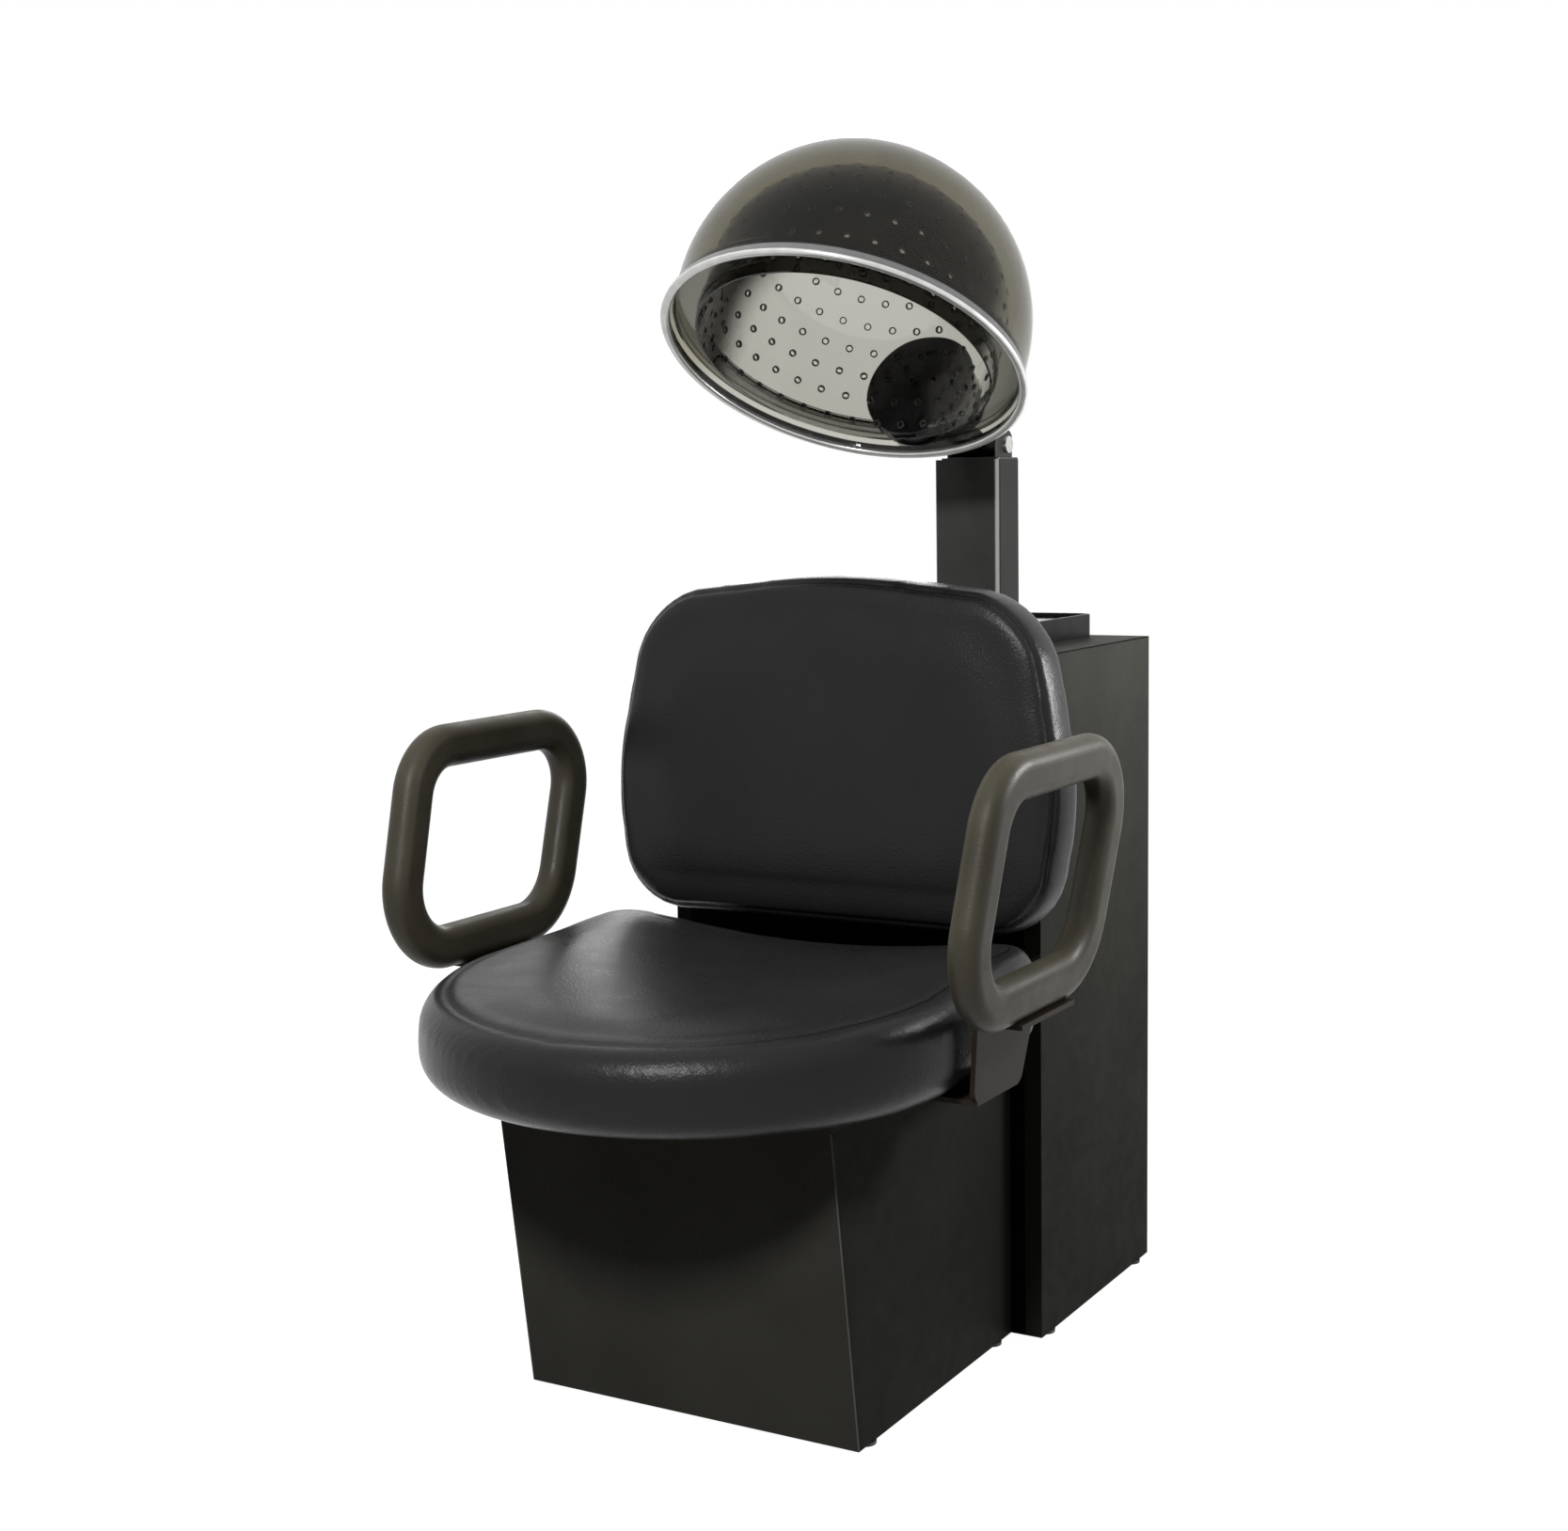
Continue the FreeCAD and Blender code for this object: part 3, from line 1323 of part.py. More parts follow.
def build():
    os.makedirs("parts", exist_ok=True)
    front = front_panel()
    save("front_panel", front)
    right_side = front_box_side(front)
    save("front_box_right_side", right_side)
    save("front_box_left_side", mirrored(right_side))
    save("seat_deck", seat_deck())
    save("corner_cleats", group([deck_cleats(), rear_box_cleats()]))
    save("rear_box_right_side", rear_box_side())
    save("rear_box_left_side", mirrored(rear_box_side()))
    bolts = joining_bolts()
    save("joining_bolts", bolts)
    save("joining_blocks", joining_blocks().cut(bolts))
    save("rear_box_front_panel", rear_box_front_panel().cut(bolts))
    save("rear_box_back_panel", rear_box_back_panel())
    save("rear_box_top", rear_box_top())
    save("floor_glides", floor_glides())
    save("seat_board", seat_board())
    save("seat_cushion", seat_cushion())
    save("seat_bolts", seat_bolts())
    save("tee_nuts", tee_nuts())
    save("back_cushion", back_cushion())
    save("back_board", back_board())
    save("back_cleats", back_cleats())
    save("back_bolts", back_bolts())
    arm = right_arm()
    save("right_arm", arm)
    save("left_arm", mirrored(arm))
    bracket = right_arm_bracket()
    save("right_arm_bracket", bracket)
    save("left_arm_bracket", mirrored(bracket))
    save("arm_bolts", arm_bolts())
    save("bracket_bolts", bracket_bolts())
    save("post_channel", post_channel())
    save("post_cover", post_cover())
    save("post_bolts", post_bolts())
    save("post_bush", post_bush())
    save("lock_plate", lock_plate())
    save("lock_knob", lock_knob())
    save("slide_tube", slide_tube())
    save("tube_bush", tube_bush())
    save("hinge_pin", hinge_pin())
    save("hinge_washers", hinge_washers())
    save("hood_arm", hood_arm())
    save("arm_screws", arm_screws())
    save("outer_dome", outer_dome())
    save("rim_trim", rim_trim())
    save("mouth_ring", mouth_ring())
    save("inner_bowl", inner_bowl())
    save("bowl_top_spacer", bowl_top_spacer())
    save("blower_housing", blower_housing())
    save("rear_cover", rear_cover())
    save("housing_screws", housing_screws())
    save("motor", motor())
    save("motor_bracket", motor_bracket())
    save("fan_shaft", fan_shaft())
    save("fan_impeller", fan_impeller())
    save("heater_ring", heater_ring())
    save("heater_posts", heater_posts())
    save("timer_unit", tilt_hood(switch_body(-knob_offset)))
    save("heat_switch", tilt_hood(switch_body(knob_offset)))
    save("timer_knob", control_knob(-knob_offset))
    save("heat_knob", control_knob(knob_offset))
    save("tray", tray())
    save("tray_liner", tray_liner())
    save("cord_gland", cord_gland())


build()
for name, solids, valid in SAVED:
    print(name, solids, "solid" if solids == 1 else "solids", "" if valid else "NOT VALID")
print(len(SAVED), "nodes; the footprint's middle is", round(middle_y, 3), "behind the front box's front edge")
print("hinge at", post_middle - middle_y, hinge_height)
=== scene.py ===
import math

import bmesh
import bpy
import numpy as np
from mathutils import Matrix, Vector
from mathutils.bvhtree import BVHTree


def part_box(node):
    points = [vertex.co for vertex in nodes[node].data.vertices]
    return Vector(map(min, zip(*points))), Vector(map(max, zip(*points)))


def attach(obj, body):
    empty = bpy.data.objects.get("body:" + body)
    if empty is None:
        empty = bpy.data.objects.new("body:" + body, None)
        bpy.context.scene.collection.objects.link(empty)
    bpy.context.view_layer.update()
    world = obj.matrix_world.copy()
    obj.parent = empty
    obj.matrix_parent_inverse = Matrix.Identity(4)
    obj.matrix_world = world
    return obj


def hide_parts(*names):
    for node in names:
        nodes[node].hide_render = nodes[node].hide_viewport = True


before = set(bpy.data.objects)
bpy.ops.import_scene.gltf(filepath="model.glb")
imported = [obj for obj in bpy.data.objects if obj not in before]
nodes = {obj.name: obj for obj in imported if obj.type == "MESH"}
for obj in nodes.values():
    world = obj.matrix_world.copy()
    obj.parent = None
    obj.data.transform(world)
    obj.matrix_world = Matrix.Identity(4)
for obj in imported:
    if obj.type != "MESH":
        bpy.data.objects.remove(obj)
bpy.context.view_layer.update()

# The camera stands in front of the sitter's left, a little above the hood's blower, and looks almost level.
# Its place and lens come from the edges of the two boxes, the hood's rim and the arms in the photograph.
camera_place = Vector((1.1769, -2.0643, 0.9181))
camera_azimuth = math.radians(30.24)
camera_elevation = math.radians(7.09)
camera_roll = math.radians(-0.99)
camera_lens_mm = 52.3
camera_sensor_mm = 36
backward = Vector((math.sin(camera_azimuth) * math.cos(camera_elevation),
                   -math.cos(camera_azimuth) * math.cos(camera_elevation), math.sin(camera_elevation)))
level_right = Vector((0, 0, 1)).cross(backward).normalized()
level_up = backward.cross(level_right)
right = level_right * math.cos(camera_roll) + level_up * math.sin(camera_roll)
up = level_up * math.cos(camera_roll) - level_right * math.sin(camera_roll)
camera_data = bpy.data.cameras.new("camera")
camera_data.lens = camera_lens_mm
camera_data.sensor_width = camera_sensor_mm
camera = bpy.data.objects.new("camera", camera_data)
camera.matrix_world = Matrix((right, up, backward)).transposed().to_4x4()
camera.location = camera_place
bpy.context.scene.collection.objects.link(camera)
bpy.context.scene.camera = camera
bpy.context.scene.view_settings.view_transform = "Standard"

# The studio: a pale floor that runs out of sight, a white surround and four soft lamps. What the camera sees
# directly, mirrored or through the smoked plastic is white, while the light on the chair stays plain.
surround_light = 0.14
backdrop_white = 1.0


def ray_is_seen(tree):
    """One where the ray comes from the camera, a mirror or a clear surface, and nought elsewhere."""
    path = tree.nodes.new("ShaderNodeLightPath")
    first = tree.nodes.new("ShaderNodeMath")
    first.operation = "MAXIMUM"
    second = tree.nodes.new("ShaderNodeMath")
    second.operation = "MAXIMUM"
    tree.links.new(path.outputs["Is Camera Ray"], first.inputs[0])
    tree.links.new(path.outputs["Is Glossy Ray"], first.inputs[1])
    tree.links.new(first.outputs[0], second.inputs[0])
    tree.links.new(path.outputs["Is Transmission Ray"], second.inputs[1])
    return second.outputs[0]


world = bpy.data.worlds.new("surround")
world.use_nodes = True
sky = world.node_tree
sky.nodes.clear()
lighting = sky.nodes.new("ShaderNodeBackground")
lighting.inputs["Color"].default_value = (1, 1, 1, 1)
lighting.inputs["Strength"].default_value = surround_light
backdrop = sky.nodes.new("ShaderNodeBackground")
backdrop.inputs["Color"].default_value = (1, 1, 1, 1)
backdrop.inputs["Strength"].default_value = backdrop_white
choose = sky.nodes.new("ShaderNodeMixShader")
sky.links.new(ray_is_seen(sky), choose.inputs["Fac"])
sky.links.new(lighting.outputs[0], choose.inputs[1])
sky.links.new(backdrop.outputs[0], choose.inputs[2])
sky.links.new(choose.outputs[0], sky.nodes.new("ShaderNodeOutputWorld").inputs["Surface"])
bpy.context.scene.world = world

floor_half_width = 30
floor_glow_share = 0.65
floor_glow = 1.5
floor_white = 0.8
floor_bounce = 0.16
floor_mesh = bmesh.new()
bmesh.ops.create_grid(floor_mesh, x_segments=2, y_segments=2, size=floor_half_width)
floor_data = bpy.data.meshes.new("studio_floor")
floor_mesh.to_mesh(floor_data)
floor_mesh.free()
studio_floor = bpy.data.objects.new("studio_floor", floor_data)
bpy.context.scene.collection.objects.link(studio_floor)
floor_paint = bpy.data.materials.new("floor_paint")
floor_paint.use_nodes = True
paint = floor_paint.node_tree
paint.nodes.clear()
matt = paint.nodes.new("ShaderNodeBsdfDiffuse")
tone = paint.nodes.new("ShaderNodeMapRange")
tone.inputs["To Min"].default_value = floor_bounce
tone.inputs["To Max"].default_value = floor_white
paint.links.new(ray_is_seen(paint), tone.inputs["Value"])
paint.links.new(tone.outputs["Result"], matt.inputs["Color"])
glow = paint.nodes.new("ShaderNodeEmission")
glow.inputs["Color"].default_value = (1, 1, 1, 1)
glow.inputs["Strength"].default_value = floor_glow
share = paint.nodes.new("ShaderNodeMath")
share.operation = "MULTIPLY"
share.inputs[1].default_value = floor_glow_share
blend_floor = paint.nodes.new("ShaderNodeMixShader")
paint.links.new(ray_is_seen(paint), share.inputs[0])
paint.links.new(share.outputs[0], blend_floor.inputs["Fac"])
paint.links.new(matt.outputs[0], blend_floor.inputs[1])
paint.links.new(glow.outputs[0], blend_floor.inputs[2])
paint.links.new(blend_floor.outputs[0], paint.nodes.new("ShaderNodeOutputMaterial").inputs["Surface"])
floor_data.materials.append(floor_paint)


def soft_lamp(name, place, aim, size, watts, mirrored=True):
    """A square softbox that points at the aim. One that isn't mirrored leaves no highlight."""
    data = bpy.data.lights.new(name, "AREA")
    data.shape = "SQUARE"
    data.size = size
    data.energy = watts
    lamp = bpy.data.objects.new(name, data)
    lamp.location = place
    lamp.visible_camera = False
    lamp.visible_glossy = mirrored
    lamp.visible_transmission = False
    lamp.rotation_euler = (Vector(aim) - Vector(place)).to_track_quat("-Z", "Y").to_euler()
    bpy.context.scene.collection.objects.link(lamp)


soft_lamp("key_softbox", place=(0.4, -1.85, 1.85), aim=(0, 0, 0.8), size=0.3, watts=36)
soft_lamp("side_softbox", place=(0.85, 0.45, 0.9), aim=(0.2, 0.42, 1.12), size=0.3, watts=12)
soft_lamp("rear_softbox", place=(-0.95, 1.8, 1.35), aim=(-0.2, 0, 0.7), size=0.8, watts=7)
soft_lamp("overhead_softbox", place=(-0.35, -0.3, 2.6), aim=(0, 0, 0.5), size=0.6, watts=28, mirrored=False)

# The two boxes are chipboard faced with black laminate that has a fine linen press. Their panels are cut to
# size and glued at the corners. The laminate is painted as a lighter copy on the front panel and the seat
# deck and a darker copy on the other panels, as painted light and painted shade for how the lamps fall. The
# panel between the seat and the back is painted near black, as painted shade in its recess.


def shader_of(name, **sockets):
    """A finish with plain values on its sockets: its material, node tree and main shader."""
    material = bpy.data.materials.new(name)
    material.use_nodes = True
    tree = material.node_tree
    shader = tree.nodes["Principled BSDF"]
    for socket, value in sockets.items():
        shader.inputs[socket.replace("_", " ")].default_value = value
    return material, tree, shader


noise_roughness = 0.55


def object_noise(tree, scale, detail, stretch=(1, 1, 1)):
    """Noise that stays fixed to the piece, drawn out along its axes by the stretch."""
    place = tree.nodes.new("ShaderNodeTexCoord")
    mapping = tree.nodes.new("ShaderNodeMapping")
    mapping.inputs["Scale"].default_value = stretch
    noise = tree.nodes.new("ShaderNodeTexNoise")
    noise.inputs["Scale"].default_value = scale
    noise.inputs["Detail"].default_value = detail
    noise.inputs["Roughness"].default_value = noise_roughness
    tree.links.new(place.outputs["Object"], mapping.inputs["Vector"])
    tree.links.new(mapping.outputs["Vector"], noise.inputs["Vector"])
    return noise.outputs["Fac"]


noise_low = 0.3
noise_high = 0.7


def spread(tree, source, low, high, target):
    """Runs a socket between two colours, or two numbers, over the range that a noise mostly keeps to."""
    ramp = tree.nodes.new("ShaderNodeMapRange")
    ramp.inputs["From Min"].default_value = noise_low
    ramp.inputs["From Max"].default_value = noise_high
    tree.links.new(source, ramp.inputs["Value"])
    if isinstance(low, tuple):
        mix = tree.nodes.new("ShaderNodeMix")
        mix.data_type = "RGBA"
        mix.inputs["A"].default_value = (*low, 1)
        mix.inputs["B"].default_value = (*high, 1)
        tree.links.new(ramp.outputs["Result"], mix.inputs["Factor"])
        target.default_value = (*low, 1)
        tree.links.new(mix.outputs["Result"], target)
    else:
        ramp.inputs["To Min"].default_value = low
        ramp.inputs["To Max"].default_value = high
        target.default_value = low
        tree.links.new(ramp.outputs["Result"], target)


def press(tree, shader, source, depth):
    """Raises the surface by the source, to a depth in metres."""
    bump = tree.nodes.new("ShaderNodeBump")
    bump.inputs["Distance"].default_value = depth
    tree.links.new(source, bump.inputs["Height"])
    tree.links.new(bump.outputs["Normal"], shader.inputs["Normal"])


def dress(material, *names):
    """Puts the finish on nodes that keep their own shape."""
    for name in names:
        piece = nodes[name]
        piece.data.materials.clear()
        piece.data.materials.append(material)


def laminate(name, dark, light):
    """Matt laminate: close colours in broad clouds under a fine linen press."""
    material, tree, shader = shader_of(name, Specular_IOR_Level=0.01)
    spread(tree, object_noise(tree, 9, 3), dark, light, shader.inputs["Base Color"])
    spread(tree, object_noise(tree, 60, 3), 0.42, 0.56, shader.inputs["Roughness"])
    press(tree, shader, object_noise(tree, 900, 2), depth=0.00012)
    return material


# Painted light and shade: the front copy is lighter and the side copy darker than the one laminate, and the
# recessed panel is near black as painted shade.
lit_front_laminate = laminate("lit_front_laminate", (0.045, 0.0435, 0.038), (0.056, 0.0545, 0.0475))
shaded_side_laminate = laminate("shaded_side_laminate", (0.028, 0.0276, 0.0242), (0.036, 0.0355, 0.031))
recess_shade_laminate = laminate("recess_shade_laminate", (0.0015, 0.0017, 0.0017), (0.003, 0.0032, 0.0032))
dress(recess_shade_laminate, "rear_box_front_panel")
dress(lit_front_laminate, "front_panel", "seat_deck")
dress(shaded_side_laminate, "front_box_left_side", "front_box_right_side", "rear_box_left_side",
      "rear_box_right_side", "rear_box_back_panel", "rear_box_top")

# Where two laminated sheets meet, the trimmed edge shows as a thin line: paler down the front box's corners,
# and dark along the rear box's top, where the lid sits on the sides. The dark line is the joint darkened as
# painted shade. The front panel leans back at its foot.
edge_line_radius = 0.0008
edge_line_sides = 8
panel_lean = 0.0454


def new_piece(name, form):
    """A piece at the origin from a finished form."""
    data = bpy.data.meshes.new(name)
    form.to_mesh(data)
    form.free()
    piece = bpy.data.objects.new(name, data)
    bpy.context.scene.collection.objects.link(piece)
    return piece


def edge_lines(name, runs, material):
    """Thin rods along the joints, sunk by half into the corner."""
    form = bmesh.new()
    for low_end, high_end in runs:
        along = high_end - low_end
        turn = along.to_track_quat("Z", "Y").to_matrix().to_4x4()
        place = Matrix.Translation((low_end + high_end) / 2) @ turn
        bmesh.ops.create_cone(form, cap_ends=True, segments=edge_line_sides, radius1=edge_line_radius,
                              radius2=edge_line_radius, depth=along.length, matrix=place)
    piece = new_piece(name, form)
    piece.data.materials.append(material)
    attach(piece, "chair")


panel_low, panel_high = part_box("front_panel")
edge_lines("front_corner_lines",
           [(Vector((side, panel_low.y + panel_lean, panel_low.z + edge_line_radius)),
             Vector((side, panel_low.y, panel_high.z))) for side in (panel_low.x, panel_high.x)],
           laminate("pale_edge", (0.12, 0.116, 0.1), (0.18, 0.174, 0.155)))
lid_low, lid_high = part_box("rear_box_top")
lid_inset = edge_line_radius
# The dark rods along the lid are the joint darkened as painted shade.
edge_lines("rear_box_lid_shade_lines",
           [(Vector((side, lid_low.y + lid_inset, lid_high.z - lid_inset)),
             Vector((side, lid_high.y - lid_inset, lid_high.z - lid_inset)))
            for side in (lid_low.x + lid_inset / 2, lid_high.x - lid_inset / 2)],
           laminate("lid_joint_shade", (0.002, 0.002, 0.002), (0.005, 0.005, 0.005)))

# The timber is hidden. Hardwood cleats and blocks are glued into the corners of the boxes and behind the
# back, and each cushion has a plywood board that takes the bolts.


def timber(name, dark, light, stretch):
    """Bare wood whose grain runs along the axis with the small stretch."""
    material, tree, shader = shader_of(name, Roughness=0.7)
    grain = object_noise(tree, 30, 6, stretch)
    spread(tree, grain, dark, light, shader.inputs["Base Color"])
    press(tree, shader, grain, depth=0.0003)
    return material


hardwood = timber("hardwood", (0.32, 0.2, 0.1), (0.5, 0.34, 0.19), stretch=(1, 1, 0.08))
dress(hardwood, "corner_cleats", "joining_blocks", "back_cleats")
plywood = timber("plywood", (0.42, 0.3, 0.17), (0.6, 0.46, 0.29), stretch=(1, 0.1, 1))
dress(plywood, "seat_board", "back_board")

# The loop arms are cast in soft urethane over a steel core. Their skin is a satin brown black with the faint
# mottle that hands leave on it.
skin_dark = (0.034, 0.030, 0.020)
skin_light = (0.050, 0.045, 0.031)
arm_skin, tree, shader = shader_of("arm_skin", Specular_IOR_Level=0.2)
spread(tree, object_noise(tree, 14, 4), skin_dark, skin_light, shader.inputs["Base Color"])
spread(tree, object_noise(tree, 40, 3), 0.36, 0.5, shader.inputs["Roughness"])
press(tree, shader, object_noise(tree, 420, 3), depth=0.0002)
dress(arm_skin, "left_arm", "right_arm")

# The arm brackets are bent steel under a brown black powder coat. The sliding tube, its lock plate and the
# cast arm that carries the hood have a plain black one.


def powder_coat(name, dark, light, roughness):
    """Baked powder: a faint drift of colour and a fine orange peel."""
    material, tree, shader = shader_of(name, Roughness=roughness, Specular_IOR_Level=0.07)
    spread(tree, object_noise(tree, 12, 3), dark, light, shader.inputs["Base Color"])
    press(tree, shader, object_noise(tree, 700, 2), depth=0.0001)
    return material


bracket_coat = powder_coat("bracket_coat", (0.016, 0.012, 0.008), (0.026, 0.019, 0.013), roughness=0.35)
dress(bracket_coat, "left_arm_bracket", "right_arm_bracket")
post_coat = powder_coat("post_coat", (0.022, 0.022, 0.021), (0.030, 0.030, 0.028), roughness=0.42)
dress(post_coat, "slide_tube", "lock_plate", "hood_arm")

# The post is a folded steel cover over a channel in one powder coat, painted as a lighter copy on the cover
# and a darker copy on the channel, as painted light and painted shade for how the lamps fall. A pale band
# along the cover's folded edges is a painted highlight, and the front of the channel is painted black as
# painted shade in the gap between the two.
fold_width = 0.0012
fold_highlight_grey = (0.16, 0.16, 0.155)
gap_depth = 0.004
gap_fade = 0.001
gap_shade_black = (0.001, 0.001, 0.001)


def by_place(coat, axis, start, stop, colour):
    """Turns a coat to another colour past a plane across the axis, on both sides of the middle."""
    tree = coat.node_tree
    shader = tree.nodes["Principled BSDF"]
    place = tree.nodes.new("ShaderNodeTexCoord")
    axes = tree.nodes.new("ShaderNodeSeparateXYZ")
    size = tree.nodes.new("ShaderNodeMath")
    size.operation = "ABSOLUTE"
    past = tree.nodes.new("ShaderNodeMapRange")
    past.inputs["From Min"].default_value = start
    past.inputs["From Max"].default_value = stop
    change = tree.nodes.new("ShaderNodeMix")
    change.data_type = "RGBA"
    change.inputs["B"].default_value = (*colour, 1)
    tree.links.new(place.outputs["Object"], axes.inputs["Vector"])
    tree.links.new(axes.outputs[axis], size.inputs[0])
    tree.links.new(size.outputs[0], past.inputs["Value"])
    tree.links.new(past.outputs["Result"], change.inputs["Factor"])
    tree.links.new(shader.inputs["Base Color"].links[0].from_socket, change.inputs["A"])
    tree.links.new(change.outputs["Result"], shader.inputs["Base Color"])


# The cover's coat is a lighter copy of the post's coat, as painted light.
lit_cover_coat = powder_coat("lit_cover_coat", (0.038, 0.038, 0.037), (0.050, 0.050, 0.048), roughness=0.38)
cover_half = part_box("post_cover")[1].x
# The pale band at the cover's folded edges is a painted highlight.
by_place(lit_cover_coat, "X", cover_half - 2 * fold_width, cover_half - fold_width, fold_highlight_grey)
dress(lit_cover_coat, "post_cover")
# The channel's coat is a darker copy of the post's coat, as painted shade.
shaded_channel_coat = powder_coat("shaded_channel_coat", (0.014, 0.014, 0.0135), (0.020, 0.020, 0.019), roughness=0.42)
gap_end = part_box("post_channel")[0].y + gap_depth
# The black band at the front of the channel is painted shade in the gap.
by_place(shaded_channel_coat, "Y", gap_end, gap_end - gap_fade, gap_shade_black)
dress(shaded_channel_coat, "post_channel")

# The fasteners, the hinge's pin and washers, the motor with its bracket and the fan's shaft are plated steel.
# All of them are bought in, and bolted or screwed in place.
plated, tree, shader = shader_of("plated_steel", Roughness=0.3, Metallic=1.0)
spread(tree, object_noise(tree, 160, 3), (0.5, 0.5, 0.48), (0.7, 0.7, 0.68), shader.inputs["Base Color"])
dress(plated, "joining_bolts", "seat_bolts", "tee_nuts", "back_bolts", "arm_bolts", "bracket_bolts",
      "post_bolts", "hinge_pin", "hinge_washers", "arm_screws", "housing_screws", "motor", "motor_bracket",
      "fan_shaft")

# The floor glides, the bushes of the post, the lock knob, the gland, the timer, the heat switch and the fan
# are moulded in plain black plastic with a fine grain.
moulded, tree, shader = shader_of("moulded_black", Base_Color=(0.018, 0.018, 0.018, 1))
spread(tree, object_noise(tree, 30, 3), 0.42, 0.58, shader.inputs["Roughness"])
press(tree, shader, object_noise(tree, 600, 2), depth=0.0001)
dress(moulded, "floor_glides", "post_bush", "tube_bush", "lock_knob", "cord_gland", "timer_unit",
      "heat_switch", "fan_impeller")

# The seat is foam on plywood under sewn dark vinyl. Its panel is cut, sewn to a side band and pulled over the
# foam, so the seam sinks and the foam swells beside it. A thin near-black line along the seam is painted
# shade in its crease. The back is made in the same way.
merge_distance = 1e-5
cushion_voxel = 0.006
cushion_swell = 0.010
seam_depth = 0.0013
seam_half_width = 0.0035
puff_place = 0.011
puff_half_width = 0.007
puff_share = 0.45
seam_shade_half_width = 0.0011
foam_spread = 60
cloth_frames = 20
start_inside = 0.5


def merged_copy(node):
    """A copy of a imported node's mesh as one closed surface."""
    form = bmesh.new()
    form.from_mesh(nodes[node].data)
    bmesh.ops.remove_doubles(form, verts=form.verts, dist=merge_distance)
    return form


def settle(piece):
    """Applies the piece's modifiers to its mesh."""
    shape = piece.evaluated_get(bpy.context.evaluated_depsgraph_get())
    data = bpy.data.meshes.new_from_object(shape)
    piece.modifiers.clear()
    piece.data = data


def spread_over_foam(piece, move):
    """Evens out how far the cloth moved, as firm foam does, so that only the broad swell stays."""
    pairs = np.zeros(len(piece.data.edges) * 2, dtype=int)
    piece.data.edges.foreach_get("vertices", pairs)
    first, second = pairs.reshape(-1, 2).T
    neighbours = np.bincount(pairs, minlength=len(move))[:, None]
    for _ in range(foam_spread):
        total = np.zeros_like(move)
        np.add.at(total, first, move[second])
        np.add.at(total, second, move[first])
        move = 0.5 * move + 0.5 * total / neighbours
    return move


def vectors_of(piece, kind):
    """The places (co) or the normals (normal) of a piece's points, one row each."""
    flat = np.zeros(len(piece.data.vertices) * 3)
    piece.data.vertices.foreach_get(kind, flat)
    return flat.reshape(-1, 3)


def place_points(piece, points):
    """Moves the points of a piece to the places given."""
    piece.data.vertices.foreach_set("co", points.ravel())
    piece.data.update()


def faces_tree(form, wanted):
    """A search tree of those faces of a form whose normal is wanted."""
    corners = []
    faces = []
    for face in form.faces:
        if wanted(face.normal):
            faces.append([len(corners) + i for i in range(len(face.verts))])
            corners.extend(v.co.copy() for v in face.verts)
    return BVHTree.FromPolygons(corners, faces)


def inflate(piece, start, outward, fixed, swell):
    """Blows the cover up as cloth over its foam, and leaves it swollen by the swell at most."""
    place_points(piece, start - outward * (swell * start_inside) * (1 - fixed[:, None]))
    group = piece.vertex_groups.new(name="held")
    group.add([int(i) for i in np.flatnonzero(fixed)], 1.0, "REPLACE")
    cloth = piece.modifiers.new("cloth", "CLOTH")
    cloth.settings.quality = 5
    cloth.settings.mass = 0.3
    cloth.settings.tension_stiffness = 20
    cloth.settings.compression_stiffness = 20
    cloth.settings.bending_stiffness = 4
    cloth.settings.use_pressure = True
    cloth.settings.uniform_pressure_force = 4
    cloth.settings.vertex_group_mass = "held"
    cloth.settings.effector_weights.gravity = 0
    cloth.point_cache.frame_start = 1
    cloth.point_cache.frame_end = cloth_frames
    for frame_number in range(1, cloth_frames + 1):
        bpy.context.scene.frame_set(frame_number)
    blown = piece.evaluated_get(bpy.context.evaluated_depsgraph_get())
    move = vectors_of(blown, "co") - start
    piece.modifiers.clear()
    bpy.context.scene.frame_set(1)
    sunk = np.minimum(0, (move * outward).sum(axis=1))[:, None]
    move = move - outward * sunk
    length = np.linalg.norm(move, axis=1)[:, None]
    move = move * np.minimum(1, swell / np.maximum(length, 1e-9))
    place_points(piece, start + spread_over_foam(piece, move))
    piece.vertex_groups.clear()


